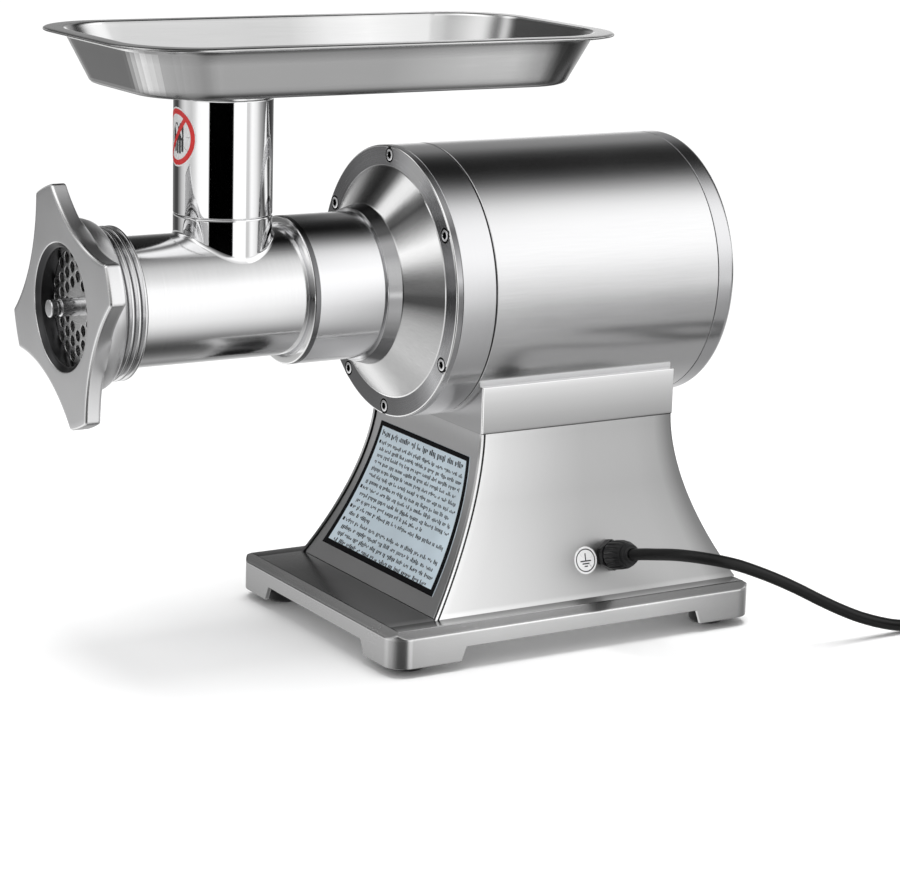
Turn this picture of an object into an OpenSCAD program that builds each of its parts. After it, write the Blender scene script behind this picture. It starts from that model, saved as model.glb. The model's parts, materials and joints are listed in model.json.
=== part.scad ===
// Electric meat grinder, size 22: motor and gear casing on a flared stand,
// with a removable grinding head, feed tube and tray.
// +Z up, grinding axis along Y, the hole plate faces -Y. Millimetres.
// The origin is under the middle of the machine, on the table.

/* [Stand] */
// Half width of the base plate
base_hw = 109.5; // [106:0.5:112]
// Height of the base plate's upper face above the table
base_top = 30.4; // [30:0.1:31]
// Height where the wide chamfer of the base plate begins
base_chamfer_z = 25.8; // [24.5:0.1:26.5]
// Half width of the pedestal at its foot
ped_foot_hw = 92.3; // [90:0.1:94]
// Half width of the pedestal at its top
ped_top_hw = 70.8; // [70.4:0.1:71.2]
// Height of the pedestal's top edge
ped_top_z = 145; // [144:0.5:146]
// Height of the saddle's side plates
saddle_top_z = 176.4; // [175:0.1:178]

/* [Motor casing] */
// Height of the grinding axis above the table
axis_h = 237; // [236.5:0.5:237.5]
// Outer radius of the motor casing and gear housing
case_r = 90; // [89.9:0.05:90.1]
// Wall thickness of the motor casing
case_wall = 2.5; // [1.5:0.1:2.6]

/* [Grinding head] */
// Outer radius of the barrel
barrel_r = 41.45; // [41.4:0.01:41.46]
// Inner radius of the barrel
barrel_bore_r = 36; // [35.8:0.1:36.5]
// Outer radius of the head socket on the casing
socket_r = 48.2; // [47:0.1:50]
// Radius of the hole plate
plate_r = 41; // [40:0.1:41]
// Distance between neighbouring holes of the plate
plate_pitch = 9.4; // [9:0.1:11]
// Diameter of the holes of the plate
plate_hole_d = 7; // [4:0.1:7.5]
// Distance from the axis to the flat ends of the ring nut's lobes
nut_reach = 75.8; // [74:0.1:77]
// Outer radius of the feed tube
tube_r = 31.5; // [31:0.1:32]
// Height of the feed tube's upper rim
tube_top_z = 364; // [362:0.5:364]

/* [Tray] */
// Height of the tray's rim
tray_top_z = 404; // [402:0.5:406]
// Half length of the tray along the grinding axis
tray_hl = 176.4; // [172:0.1:178]
// Half width of the tray
tray_hw = 94.3; // [92:0.1:96]

/* [Hidden] */

$fn = 64;
y_off = 73;             // stations along the axis are counted from the casing; this puts them in the row frame
base_f = -121;          // front and rear of the base plate, as stations
base_r = 164;
skirt_z = 6;
base_in = 6.4;          // inset of the chamfer
ped_f = -36.4;          // pedestal's top edge, front and rear stations
ped_r = 115.3;
foot_flare = 44.6;      // how far the pedestal's foot runs out in front and behind
ped_z0 = base_top;
steps = 16;

seam = -39.65;          // gasket between gear housing and casing
flange = -69.7;         // front face of the cover's flange
sock_f = -148.7;        // head socket, front and rear stations
sock_b = -97.3;
tube_y = -190.65;       // station of the feed tube
tray_y = -113.2;        // station of the tray's middle
plate_f = -290.5;       // front face of the hole plate
barrel_f = -288;        // front end of the barrel
nut_f = -302.1;         // front face of the ring nut
nut_b = -280;           // rear end of the ring nut

STEEL = [0.80, 0.80, 0.80];
SATIN = [0.70, 0.70, 0.71];
CAST = [0.62, 0.63, 0.64];
BLACK = [0.07, 0.07, 0.07];
COPPER = [0.72, 0.42, 0.20];

// ---------- helpers ----------
module st() translate([0, y_off, 0]) children();
// revolves a profile [radius, station] about the grinding axis, or an axis below it
module lathe(p, dz = 0, fn = 96) st() translate([0, 0, axis_h + dz]) rotate([-90, 0, 0]) rotate_extrude($fn = fn) polygon(p);
// extrudes an x-z outline along Y between two stations
module ext_y(a, b) translate([0, b, 0]) rotate([90, 0, 0]) linear_extrude(b - a) children();
// extrudes a y-z outline along X
module ext_x(a, b) translate([a, 0, 0]) rotate([90, 0, 90]) linear_extrude(b - a) children();
// straight round bar along Y between two stations
module rod(r, a, b, x = 0, dz = 0, fn = 64) st() translate([x, a, axis_h + dz]) rotate([-90, 0, 0]) cylinder(r = r, h = b - a, $fn = fn);
// rounded rectangle made of squares and circles
module rrect(hw, y0, y1, r) {
    translate([-hw + r, y0]) square([2 * hw - 2 * r, y1 - y0]);
    translate([-hw, y0 + r]) square([2 * hw, y1 - y0 - 2 * r]);
    for (x = [-hw + r, hw - r], y = [y0 + r, y1 - r]) translate([x, y]) circle(r = r, $fn = 48);
}
module ring2(r1, r0) difference() { circle(r = r1); circle(r = r0); }

// flare of the pedestal: 0 at its top edge, 1 at its foot
function tt(z) = (ped_top_z - z) / (ped_top_z - ped_z0);
function flare(z) = pow(max(tt(z), 0), 1.75);
function ped_x(z) = ped_top_hw + (ped_foot_hw - ped_top_hw) * flare(z);
function ped_yf(z) = ped_f - foot_flare * flare(z);
function ped_yr(z) = ped_r + foot_flare * flare(z);
function zs(a, b) = [for (i = [0:steps]) a + (b - a) * i / steps];
PZ = zs(ped_z0, ped_top_z);
function xprof(d) = concat([for (z = PZ) [ped_x(z) - d, z]], [for (i = [steps:-1:0]) [-ped_x(PZ[i]) + d, PZ[i]]]);
function yprof(df, dr) = concat([for (z = PZ) [ped_yr(z) - dr, z]], [for (i = [steps:-1:0]) [ped_yf(PZ[i]) + df, PZ[i]]]);
// a sheet that follows the front curve, between two depths behind it
function fsheet(d0, d1) = concat([for (z = PZ) [ped_yf(z) + d0, z]], [for (i = [steps:-1:0]) [ped_yf(PZ[i]) + d1, PZ[i]]]);

// involute gear outline, tooth 0 pointing along angle ph
function inv(rb, r) = sqrt(pow(r / rb, 2) - 1) * 180 / PI - acos(rb / r);
function gear_pts(n, m, ph, bl) = let(
        rp = n * m / 2, rb = rp * cos(20), ra = rp + 0.82 * m, rf = rp - 1.18 * m,
        half = 90 / n - bl / rp * 90 / PI + inv(rb, rp),
        r0 = max(rb, rf), rr = [for (k = [0:3]) r0 + (ra - r0) * k / 3],
        up = [for (r = rr) [r, half - (r > rb ? inv(rb, r) : 0)]],
        side = rf < rb ? concat([[rf, half]], up) : up)
    [for (t = [0:n - 1]) let(c = ph + 360 * t / n)
        each concat([for (p = side) [p[0] * cos(c - p[1]), p[0] * sin(c - p[1])]],
                    [for (i = [len(side) - 1:-1:0]) [side[i][0] * cos(c + side[i][1]), side[i][0] * sin(c + side[i][1])]])];
// gear between two stations; its outline is drawn in x-z
module gear(n, m, ph, bl, a, b, bore, dz = 0) st() translate([0, 0, axis_h + dz]) ext_y(a, b) difference() {
    polygon(gear_pts(n, m, ph, bl));
    if (bore > 0) circle(r = bore);
}

// ---------- stand ----------
module base_outer() intersection() {
    ext_y(base_f, base_r) polygon([[-base_hw, skirt_z], [base_hw, skirt_z], [base_hw, base_chamfer_z],
        [base_hw - base_in, base_top], [-base_hw + base_in, base_top], [-base_hw, base_chamfer_z]]);
    ext_x(-base_hw, base_hw) polygon([[base_f, skirt_z], [base_r, skirt_z], [base_r, base_chamfer_z],
        [base_r - base_in, base_top], [base_f + base_in, base_top], [base_f, base_chamfer_z]]);
    linear_extrude(60) rrect(base_hw, base_f, base_r, 14);
}
FOOT = [for (x = [-86, 86], y = [base_f + 23, base_r - 23]) [x, y]];
PBOLT = [for (x = [-66, 66], y = [-48, 128]) [x, y]];
module base_plate() color(STEEL) st() difference() {
    union() {
        difference() {
            base_outer();
            translate([0, 0, skirt_z - 1]) linear_extrude(base_top - 3 - skirt_z + 1) rrect(base_hw - 6.5, base_f + 6.5, base_r - 6.5, 9);
            translate([0, 0, skirt_z - 1]) linear_extrude(base_chamfer_z - 2 - skirt_z) rrect(base_hw - 3, base_f + 3, base_r - 3, 11);
            // finger notches in the skirt
            translate([0, 0, 0]) ext_y(base_f - 1, base_r + 1) polygon([[-69, 0], [69, 0], [69, 7.5], [65, 15.8], [-65, 15.8], [-69, 7.5]]);
            ext_x(-base_hw - 1, base_hw + 1) polygon([[-70, 0], [119, 0], [119, 7.5], [116, 15.6], [-67, 15.6], [-70, 7.5]]);
        }
        for (p = FOOT) translate([p[0], p[1], 16]) cylinder(r = 9, h = base_top - 16 - 1);
    }
    for (p = FOOT) translate([p[0], p[1], 15]) cylinder(r = 3.02, h = 11);
    for (p = PBOLT) translate([p[0], p[1], 20]) cylinder(r = 3.05, h = 20);
    translate([-55, -20, 20]) cube([110, 120, 20]);
    for (x = [-62, 62], y = [-10, 90]) translate([x, y, 20]) cylinder(r = 2.02, h = 20);
}
module rubber_feet() color(BLACK) st() for (p = FOOT) translate([p[0], p[1], 0]) difference() {
    rotate_extrude() polygon([[0, 0], [10.6, 0], [12, 1.4], [13.2, 15.9], [0, 15.9]]);
    translate([0, 0, -1]) cylinder(r = 6, h = 6);
    cylinder(r = 3.05, h = 30);
}
module foot_screws() color(STEEL) st() for (p = FOOT) translate([p[0], p[1], 0]) {
    translate([0, 0, 5]) rotate([180, 0, 0]) cylinder(r = 5.2, h = 3);
    translate([0, 0, 5]) cylinder(r = 3, h = 20);
}
module bottom_cover() color(SATIN) st() difference() {
    translate([-68, -26, base_top - 3 - 1.5]) cube([136, 132, 1.5]);
    for (x = [-62, 62], y = [-10, 90]) translate([x, y, 20]) cylinder(r = 2.02, h = 20);
    for (i = [0:5]) translate([-30, 12 + 11 * i, 20]) cube([60, 4.5, 20]);
}
module gland_at() st() translate([84.4, 59, 55.6]) rotate([0, 75.1, 0]) children();
module switch_at() st() translate([-ped_x(92), 38, 92]) rotate([0, -79.8, 0]) children();
module breaker_at() st() translate([-ped_x(92), -2, 92]) rotate([0, -79.8, 0]) children();
module pedestal_shell() color(SATIN) difference() {
    st() difference() {
        intersection() {
            ext_y(ped_f - foot_flare - 1, ped_r + foot_flare + 1) polygon(xprof(0));
            ext_x(-ped_foot_hw, ped_foot_hw) polygon(yprof(0, 0));
        }
        // hollow, leaving a flange below and a roof above
        intersection() {
            ext_y(ped_f - foot_flare - 1, ped_r + foot_flare + 1) polygon(xprof(2.5));
            ext_x(-ped_foot_hw, ped_foot_hw) polygon(yprof(3.6, 2.5));
            translate([-100, -100, base_top + 3]) cube([200, 300, ped_top_z - base_top - 6]);
        }
        // room for the front panel
        intersection() {
            ext_y(ped_f - foot_flare - 1, 0) polygon(xprof(2.5));
            ext_x(-ped_foot_hw, ped_foot_hw) polygon(fsheet(-5, 3.6));
        }
        translate([-58, -30, base_top - 1]) cube([116, 140, 6]);
        translate([0, 40, ped_top_z - 5]) cylinder(r = 14, h = 10);
        for (p = PBOLT) translate([p[0], p[1], 20]) cylinder(r = 3.05, h = 20);
        for (x = [-45, 45], y = [0, 80]) translate([x, y, ped_top_z - 6]) cylinder(r = 4.05, h = 10);
    }
    gland_at() translate([0, 0, -12]) cylinder(r = 7.05, h = 20);
    switch_at() translate([-13.6, -9.6, -10]) cube([27.2, 19.2, 20]);
    breaker_at() translate([0, 0, -10]) cylinder(r = 7.55, h = 20);
}
module hex_bolt(r, h, hr, hh) { cylinder(r = r, h = h); translate([0, 0, h]) cylinder(r = hr, h = hh, $fn = 6); }
module pedestal_bolts() color(STEEL) st() for (p = PBOLT) translate([p[0], p[1], 0]) {
    translate([0, 0, 22]) cylinder(r = 3, h = base_top + 3 - 22);
    translate([0, 0, base_top + 3]) cylinder(r = 5.5, h = 4, $fn = 6);
    translate([0, 0, base_top - 3 - 4.6]) difference() { cylinder(r = 5.5, h = 4.6, $fn = 6); cylinder(r = 3, h = 5); }
}
module front_panel() color([0.55, 0.55, 0.56]) st() intersection() {
    ext_y(ped_f - foot_flare - 1, 0) polygon(xprof(3.1));
    ext_x(-ped_foot_hw, ped_foot_hw) polygon(fsheet(1.0, 3.2));
    translate([-100, -100, base_top + 0.3]) cube([200, 100, ped_top_z - base_top - 0.8]);
}
module instruction_plate() color([0.75, 0.82, 0.88]) st() intersection() {
    ext_x(-ped_foot_hw, ped_foot_hw) polygon(fsheet(0.3, 1.0));
    ext_y(-90, 0) polygon([[-75.2, 41], [75.2, 41], [58.6, 127.6], [-58.6, 127.6]]);
}
module earth_label() color([0.95, 0.95, 0.95]) st() intersection() {
    ext_y(20, 60) polygon(concat([for (z = PZ) [ped_x(z), z]], [for (i = [steps:-1:0]) [ped_x(PZ[i]) + 0.35, PZ[i]]]));
    translate([60, 39.5, 54.5]) rotate([0, 90, 0]) cylinder(r = 8.9, h = 60);
}
module saddle() color(SATIN) st() difference() {
    ext_y(ped_f, ped_r) difference() {
        translate([-ped_top_hw, ped_top_z]) square([2 * ped_top_hw, saddle_top_z - ped_top_z]);
        translate([0, axis_h]) circle(r = case_r, $fn = 128);
    }
    translate([0, 40, 130]) cylinder(r = 14, h = 30);
    for (x = [-45, 45], y = [0, 80]) translate([x, y, 130]) cylinder(r = 4.05, h = 40);
}
module saddle_bolts() color(STEEL) st() for (x = [-45, 45], y = [0, 80]) translate([x, y, 0]) {
    translate([0, 0, ped_top_z - 3]) cylinder(r = 4, h = 27);
    translate([0, 0, ped_top_z - 8]) cylinder(r = 7, h = 5, $fn = 6);
}

// ---------- casing and covers ----------
module casing_bolt_holes() st() {
    for (x = [-45, 45], y = [0, 80]) translate([x, y, 130]) cylinder(r = 4.05, h = 40.5);
    translate([0, 40, 130]) cylinder(r = 12, h = 40);
}
module motor_casing() color(STEEL) difference() {
    lathe([[case_r - case_wall, seam + 0.5], [case_r, seam + 0.5], [case_r, 134.6], [case_r - case_wall, 134.6]], fn = 128);
    casing_bolt_holes();
}
CAPS = [for (a = [45:90:315]) [66 * cos(a), 66 * sin(a)]];
module rear_cap() color(STEEL) difference() {
    lathe([[0, 146.5], [82, 146.5], [84.9, 143.5], [84.9, 125], [87.4, 125], [87.4, 135], [case_r, 135], [case_r, 143.2],
        [89.2, 145.8], [87.4, 147.6], [84.8, 148.7], [80, 149], [0, 149]], fn = 128);
    for (p = CAPS) rod(2.3, 140, 152, p[0], p[1], 32);
}
module rear_cap_screws() color(SATIN) for (p = CAPS) {
    rod(2.2, 110, 149, p[0], p[1], 32);
    rod(4, 149, 151.4, p[0], p[1], 32);
}
module casing_gasket() color(BLACK) lathe([[87.45, seam - 0.5], [89.6, seam - 0.5], [89.6, seam + 0.5], [87.45, seam + 0.5]], fn = 128);
SCR = [for (a = [90, 30, -30, -90, -126, 150]) [84 * cos(a), 84 * sin(a)]];
module gearbox_housing() color(CAST) difference() {
    lathe([[0, -43], [81, -43], [81, -64.7], [case_r, -64.7], [case_r, seam - 0.5], [87.4, seam - 0.5], [87.4, -33], [0, -33]], fn = 128);
    rod(16, -42.6, -32);
    rod(12, -50, -32);
    rod(14, -50, -32, 0, -39);
    for (p = SCR) rod(2.55, -66, -48, p[0], p[1], 32);
}
module front_cover() color(SATIN) difference() {
    lathe([[20, -64.7], [case_r, -64.7], [case_r, -68.7], [89, flange], [76.4, flange], [52.7, -87.7], [50.2, -97.25],
        [41.4, -97.25], [41.4, -107], [22, -107], [22, -97], [31, -97], [31, -80.5], [20, -80.5]], fn = 128);
    rod(14, -73, -60, 0, -39);
    for (p = SCR) { rod(2.6, -75, -60, p[0], p[1], 32); rod(4.2, -75, -66.7, p[0], p[1], 32); }
}
module cover_screws() color([0.3, 0.3, 0.31]) for (p = SCR) difference() {
    union() { rod(4.1, -69.9, -66.7, p[0], p[1], 32); rod(2.5, -66.7, -49, p[0], p[1], 32); }
    st() translate([p[0], -67.9, axis_h + p[1]]) rotate([90, 0, 0]) cylinder(r = 2.3, h = 5, $fn = 6);
}
module head_socket() color(STEEL) difference() {
    union() {
        lathe([[41.5, sock_b], [socket_r, sock_b], [socket_r, sock_f + 1], [socket_r - 1, sock_f], [43.5, sock_f], [42.9, sock_f + 1.2], [41.5, sock_f + 3]], fn = 128);
        st() translate([-62, -123, axis_h]) rotate([0, 90, 0]) cylinder(r = 11, h = 18);
    }
    rod(41.5, sock_f - 1, sock_b + 1, fn = 128);
    st() translate([-70, -123, axis_h]) rotate([0, 90, 0]) cylinder(r = 5.05, h = 40);
}

// ---------- motor ----------
module motor_frame() color(CAST) difference() {
    lathe([[78, -4], [87.4, -4], [87.4, 108], [78, 108]], fn = 128);
    casing_bolt_holes();
    st() for (x = [-45, 45], y = [0, 80]) translate([x, y, 150]) cylinder(r = 4.05, h = 21);
}
module front_shield() color(CAST) difference() {
    lathe([[0, -16], [87.4, -16], [87.4, -4], [0, -4]], fn = 128);
    rod(20, -15.9, -2); rod(12, -20, -2);
    rod(14, -18, -6, 0, -39);
}
module rear_shield() color(CAST) difference() {
    lathe([[0, 108], [84.5, 108], [84.5, 117], [0, 117]], fn = 128);
    rod(17.5, 107, 116.5); rod(12, 100, 120);
    for (p = CAPS) rod(2.25, 100, 125, p[0], p[1], 32);
    for (a = [0:45:315]) rod(6, 100, 125, 42 * cos(a), 42 * sin(a), 32);
}
module stator_core() color([0.35, 0.36, 0.38]) st() translate([0, 0, axis_h]) ext_y(18, 88) difference() {
    circle(r = 77.95, $fn = 128);
    circle(r = 44.6, $fn = 96);
    for (a = [0:20:340]) rotate(a) translate([44, -2.5]) square([22, 5]);
}
module stator_windings() color(COPPER) {
    lathe([[48, 6], [52, 3], [68, 3], [72, 7], [72, 17.9], [48, 17.9]]);
    lathe([[48, 88.1], [72, 88.1], [72, 99], [68, 103], [52, 103], [48, 100]]);
}
module bearing(ri, ro, a, b, dz = 0) color(STEEL) lathe([[ri, a], [ro, a], [ro, b], [ri, b]], dz, 64);
module motor_bearings() { bearing(8.53, 20, -15.9, -4); bearing(7.53, 17.5, 106, 116.5); }
module gear_bearings() {
    bearing(15.03, 31, -97, -81); bearing(7.53, 16, -42.5, -33.5);
    bearing(6.03, 14, -73, -65, -39); bearing(6.03, 14, -14, -6, -39);
}
module shaft_seal() color(BLACK) lathe([[15.05, -106], [22, -106], [22, -98], [15.05, -98]]);
module rotor_shaft() color(STEEL) {
    gear(13, 1.5, -90, 0.30, -32, -19, 0);
    rod(8.5, -19, 20); rod(12, 20, 86); rod(7.5, 86, 134);
}
module rotor_core() color([0.45, 0.46, 0.48]) lathe([[12, 18], [30, 18], [30, 14], [42, 14], [42, 20], [44, 20], [44, 86], [42, 86], [42, 92], [30, 92], [30, 88], [12, 88]]);
module cooling_fan() color(BLACK) difference() {
    union() {
        lathe([[7.5, 119], [16, 119], [16, 121], [50, 121], [50, 122.5], [16, 122.5], [16, 131], [7.5, 131]]);
        st() translate([0, 0, axis_h]) for (a = [0:45:315]) rotate([0, a, 0]) translate([15, 122, -1]) cube([33, 9, 2]);
    }
    rod(7.5, 110, 140);
}
module countershaft() color(STEEL) {
    rod(6, -72.5, -61, 0, -39);
    gear(11, 2, 90, 0.40, -61, -45, 0, -39);
    rod(8, -45, -18, 0, -39); rod(6, -18, -6.5, 0, -39);
}
module intermediate_gear() color(SATIN) gear(39, 1.5, 90 + 180 / 39, 0.30, -31, -20, 8, -39);
module output_gear() color(SATIN) gear(28, 2, -90 + 180 / 28, 0.40, -60, -46, 14);
module output_shaft() color(STEEL) difference() {
    union() { rod(15, -124, -62); rod(14, -62, -45); rod(7.5, -45, -34); }
    st() translate([-8.15, -130, axis_h - 8.15]) cube([16.3, 26, 16.3]);
}
module capacitor() color([0.15, 0.16, 0.2]) st() translate([-33, 72, base_top - 2.9]) cylinder(r = 20, h = 78);
module terminal_block() color([0.9, 0.9, 0.85]) st() translate([30, 5, base_top - 2.9]) difference() {
    cube([22, 60, 20]);
    for (i = [0:4]) translate([11, 8 + 11 * i, 6]) cylinder(r = 3, h = 20);
}

// ---------- switch, breaker, cord ----------
module switch_housing() color(BLACK) switch_at() difference() {
    union() { translate([-16, -12, 0.45]) cube([32, 24, 2.4]); translate([-13.4, -9.4, -20]) cube([26.8, 18.8, 20.5]); }
    translate([-11.3, -7.3, -9]) cube([22.6, 14.6, 20]);
    translate([0, 8.9, 0]) rotate([90, 0, 0]) cylinder(r = 1.55, h = 17.8);
}
module switch_rocker() color([0.75, 0.08, 0.06]) switch_at() rotate([0, 9, 0]) {
    intersection() {
        translate([-11, -7, -8]) cube([22, 14, 14]);
        translate([0, 7, -1]) rotate([90, 0, 0]) linear_extrude(14) difference() {
            polygon([[-10.2, 5.6], [-10.6, -1], [-4, -6.6], [4, -6.6], [10.6, -1], [10.2, 5.6]]);
            translate([0, 17.5]) circle(r = 13.6);
        }
    }
    translate([0, 8.6, 0]) rotate([90, 0, 0]) cylinder(r = 1.5, h = 17.2);
}
module breaker_housing() color(BLACK) breaker_at() difference() {
    union() { translate([0, 0, 0.2]) cylinder(r = 10, h = 3); translate([0, 0, -22]) cylinder(r = 7.5, h = 22.3); }
    translate([0, 0, -8]) cylinder(r = 4.4, h = 20);
}
module reset_button() color([0.8, 0.1, 0.08]) breaker_at() { translate([0, 0, -3.5]) cylinder(r = 4, h = 11); }
module cable_gland() color(BLACK) gland_at() difference() {
    union() {
        translate([0, 0, -9]) cylinder(r = 7, h = 10);
        translate([0, 0, -8.5]) cylinder(r = 9.8, h = 4.5, $fn = 6);
        translate([0, 0, 0.75]) cylinder(r = 10.6, h = 5.05, $fn = 6);
        translate([0, 0, 5.7]) cylinder(r = 8.6, h = 2.3);
        rotate_extrude() polygon([[0, 7.5], [9.5, 7.5], [9.9, 9], [9.8, 17], [9, 21.5], [7.6, 25.2], [5.9, 27.8], [5.2, 28.5], [0, 28.5]]);
    }
    translate([0, 0, -10]) cylinder(r = 3, h = 36);
}
// cord route, in the row frame
ROUTE = [[111.9, 132, 62.9], [118.5, 133.6, 64.6], [124.6, 135.2, 66], [130.5, 136.8, 67.2], [142, 140.7, 69.5], [152, 145.7, 70.7], [160.5, 153.1, 70.5], [166.5, 163.3, 68.7],
    [169.6, 175.8, 65.1], [170.5, 189.3, 59.8], [170.5, 202, 54.3], [170.5, 214.8, 48.3], [170.5, 227.7, 41.8], [170.5, 245.2, 32.5],
    [170.5, 262.8, 23.7], [170.5, 280.5, 15.9], [170.5, 298.3, 9.7], [170.5, 311.7, 6.1], [170.5, 321, 4.6], [170.5, 334, 4.15],
    [170.5, 348, 4.1], [170.5, 363, 4.1]];
TAIL = [[269.5, 363, 12.3], [269.5, 356, 12.3], [269.5, 348, 12.2], [269.5, 340, 12]];
COIL_C = [220, 363];
cord_r = 4;
function unit(v) = v / norm(v);
function dirs(p) = [for (i = [0:len(p) - 1]) unit(p[min(i + 1, len(p) - 1)] - p[max(i - 1, 0)])];
function sweep_pts(p, r, n) = let(d = dirs(p)) [for (i = [0:len(p) - 1]) let(s = unit(cross(d[i], [0, 0, 1])), u = cross(s, d[i]))
    each [for (k = [0:n - 1]) p[i] + r * (cos(360 * k / n) * s + sin(360 * k / n) * u)]];
function sweep_faces(m, n) = concat([[for (k = [0:n - 1]) k]], [[for (k = [n - 1:-1:0]) (m - 1) * n + k]],
    [for (i = [0:m - 2], k = [0:n - 1]) [i * n + k, (i + 1) * n + k, (i + 1) * n + (k + 1) % n, i * n + (k + 1) % n]]);
module tube(p, r, n) polyhedron(points = sweep_pts(p, r, n), faces = sweep_faces(len(p), n), convexity = 8);
module cord() color(BLACK) { tube(ROUTE, cord_r, 10); tube(TAIL, cord_r, 10); }
module cord_coil() color(BLACK) translate([COIL_C[0], COIL_C[1], 0]) rotate_extrude() polygon([[30.5, 0], [52, 0], [53.5, 4], [53.5, 12.4], [51, 16.4], [31.5, 16.4], [29, 12.4], [29, 4]]);
module plug() color(BLACK) translate([269.5, 340, 12]) rotate([90, 0, 0]) union() {
    cylinder(r1 = 4.8, r2 = 5.9, h = 22.1);
    translate([-15, -11.9, 22]) cube([30, 23.8, 8]);
    translate([-12, -11.9, 30]) cube([24, 23.8, 22]);
    translate([-7.1, -0.5, 52]) cube([1.5, 6.4, 18]);
    translate([5.6, -0.5, 52]) cube([1.5, 6.4, 18]);
    translate([0, -6.6, 52]) cylinder(r = 2.4, h = 20, $fn = 24);
}

// ---------- grinding head ----------
neck_r = tube_r;
module grinding_barrel() color(STEEL) difference() {
    union() {
        // barrel with threaded front end
        lathe(concat([[0, -109], [41.45, -109], [barrel_r, -263.4]],
            [for (k = [0:4]) each [[46.4, -264 - 4.5 * k], [48.8, -265.2 - 4.5 * k], [48.8, -266.6 - 4.5 * k], [46.4, -267.8 - 4.5 * k]]],
            [[46.4, barrel_f + 1], [45.4, barrel_f], [0, barrel_f]]), fn = 128);
        st() translate([0, tube_y, axis_h]) cylinder(r = neck_r, h = 290 - axis_h, $fn = 96);
        // root of the neck
        st() translate([0, tube_y, axis_h]) rotate_extrude($fn = 96) polygon([[0, 20], [38.5, 20], [36.5, 26], [neck_r + 2.4, 37], [neck_r + 0.6, 42.5], [neck_r, 46], [0, 46]]);
    }
    rod(41.08, -290, plate_f + 10, fn = 128);
    rod(barrel_bore_r, -285, -141, fn = 128);
    rod(barrel_bore_r, -127, -100, fn = 128);
    rod(16.05, -145, -120);
    st() translate([0, tube_y, axis_h]) cylinder(r = 27, h = 60, $fn = 96);
    st() translate([0, tube_y, 272]) cylinder(r = 29.05, h = 30, $fn = 96);
    rod(2.02, -290, -275.5, 0, 38.6, 24);
}
module plate_pin() color(SATIN) rod(2, -286, -276, 0, 38.6, 24);
module auger_bush() color([0.92, 0.9, 0.82]) lathe([[12.08, -141], [20, -144], [20, -141], [16.02, -141], [16.02, -127.5], [12.08, -127.5]]);
core = 13;
module auger() color(STEEL) {
    // spiral flights, 3.6 turns
    difference() {
        st() translate([0, -268, axis_h]) rotate([-90, 0, 0]) linear_extrude(height = 117, twist = 1296, slices = 90, $fn = 20) union() {
            circle(r = core);
            polygon(concat([[0, 0]], [for (a = [0:12:36]) [35.4 * cos(a), 35.4 * sin(a)]]));
        }
        rod(7.02, -269, -250);
    }
    rod(12, -151.5, -127.4);
    rod(19, -151.2, -144.2);
    st() translate([-8, -127.5, axis_h - 8]) cube([16, 21, 16]);
}
// stud pressed into the auger's front end: a square for the knife and a round nose for the hole plate
module auger_stud() color(SATIN) {
    st() translate([-6.9, -280.4, axis_h - 6.9]) cube([13.8, 12.4, 13.8]);
    lathe([[0, -310], [4.8, -310], [5.6, -309.2], [5.6, -305.6], [4.6, -304.8], [4.6, -303.2], [5.6, -302.4], [5.6, -280], [0, -280]], fn = 48);
    rod(7, -268.4, -250);
}
module blade() polygon(concat([[0, -7]], [for (a = [0:12:60]) [10 + 25.4 * a / 60 - 0, -7 + 9 * pow(a / 60, 2)]],
    [for (a = [60:-12:0]) [10 + 22.5 * a / 60, 3.5 + 2.5 * pow(a / 60, 2)]], [[0, 3.5]]));
module cutting_knife() color(SATIN) st() translate([0, 0, axis_h]) ext_y(-280.2, -270.5) difference() {
    union() { circle(r = 15); for (a = [0:90:270]) rotate(a) blade(); }
    translate([-7, -7]) square(14);
}
HOLES = [for (i = [-4:4], j = [-5:5]) let(x = i * plate_pitch * sqrt(3) / 2, z = (j + (abs(i) % 2) / 2) * plate_pitch)
    if (norm([x, z]) > 15.2 && norm([x, z]) < 34.2) [x, z]];
module hole_plate() color(SATIN) st() translate([0, 0, axis_h]) ext_y(plate_f, plate_f + 10) difference() {
    circle(r = plate_r, $fn = 128);
    circle(r = 5.65);
    for (p = HOLES) translate(p) circle(d = plate_hole_d, $fn = 24);
    translate([0, 38.6]) circle(r = 2.3, $fn = 24);
    translate([-2.3, 38.6]) square([4.6, 6]);
}
module nut_outline() rotate(20.1) difference() {
    polygon([for (k = [0:3], s = [-1, 1]) let(a = 90 * k) [nut_reach * cos(a) - s * 12.6 * sin(a), nut_reach * sin(a) + s * 12.6 * cos(a)]]);
    for (k = [0:3]) rotate(45 + 90 * k) translate([163.3, 0]) circle(r = 110.3, $fn = 128);
}
module ring_nut() color([0.68, 0.68, 0.68]) difference() {
    union() {
        // the outline is seen from behind in x-z, so the turn is the same from the front
        st() translate([0, 0, axis_h]) ext_y(nut_f, nut_f + 10.5) nut_outline();
        lathe([[0, nut_f + 2], [52, nut_f + 2], [55, nut_f + 10.5], [54.6, nut_b - 6], [52.6, nut_b - 1.2], [51.2, nut_b], [0, nut_b]], fn = 128);
    }
    lathe([[0, nut_f - 1], [41.2, nut_f - 1], [40.5, nut_f], [38.2, nut_f + 2.6], [37, nut_f + 3.2], [37, nut_f + 9], [0, nut_f + 9]], fn = 128);
    rod(37, nut_f + 8, plate_f + 1, fn = 128);
    rod(49.15, plate_f, nut_b + 1, fn = 128);
}

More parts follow.
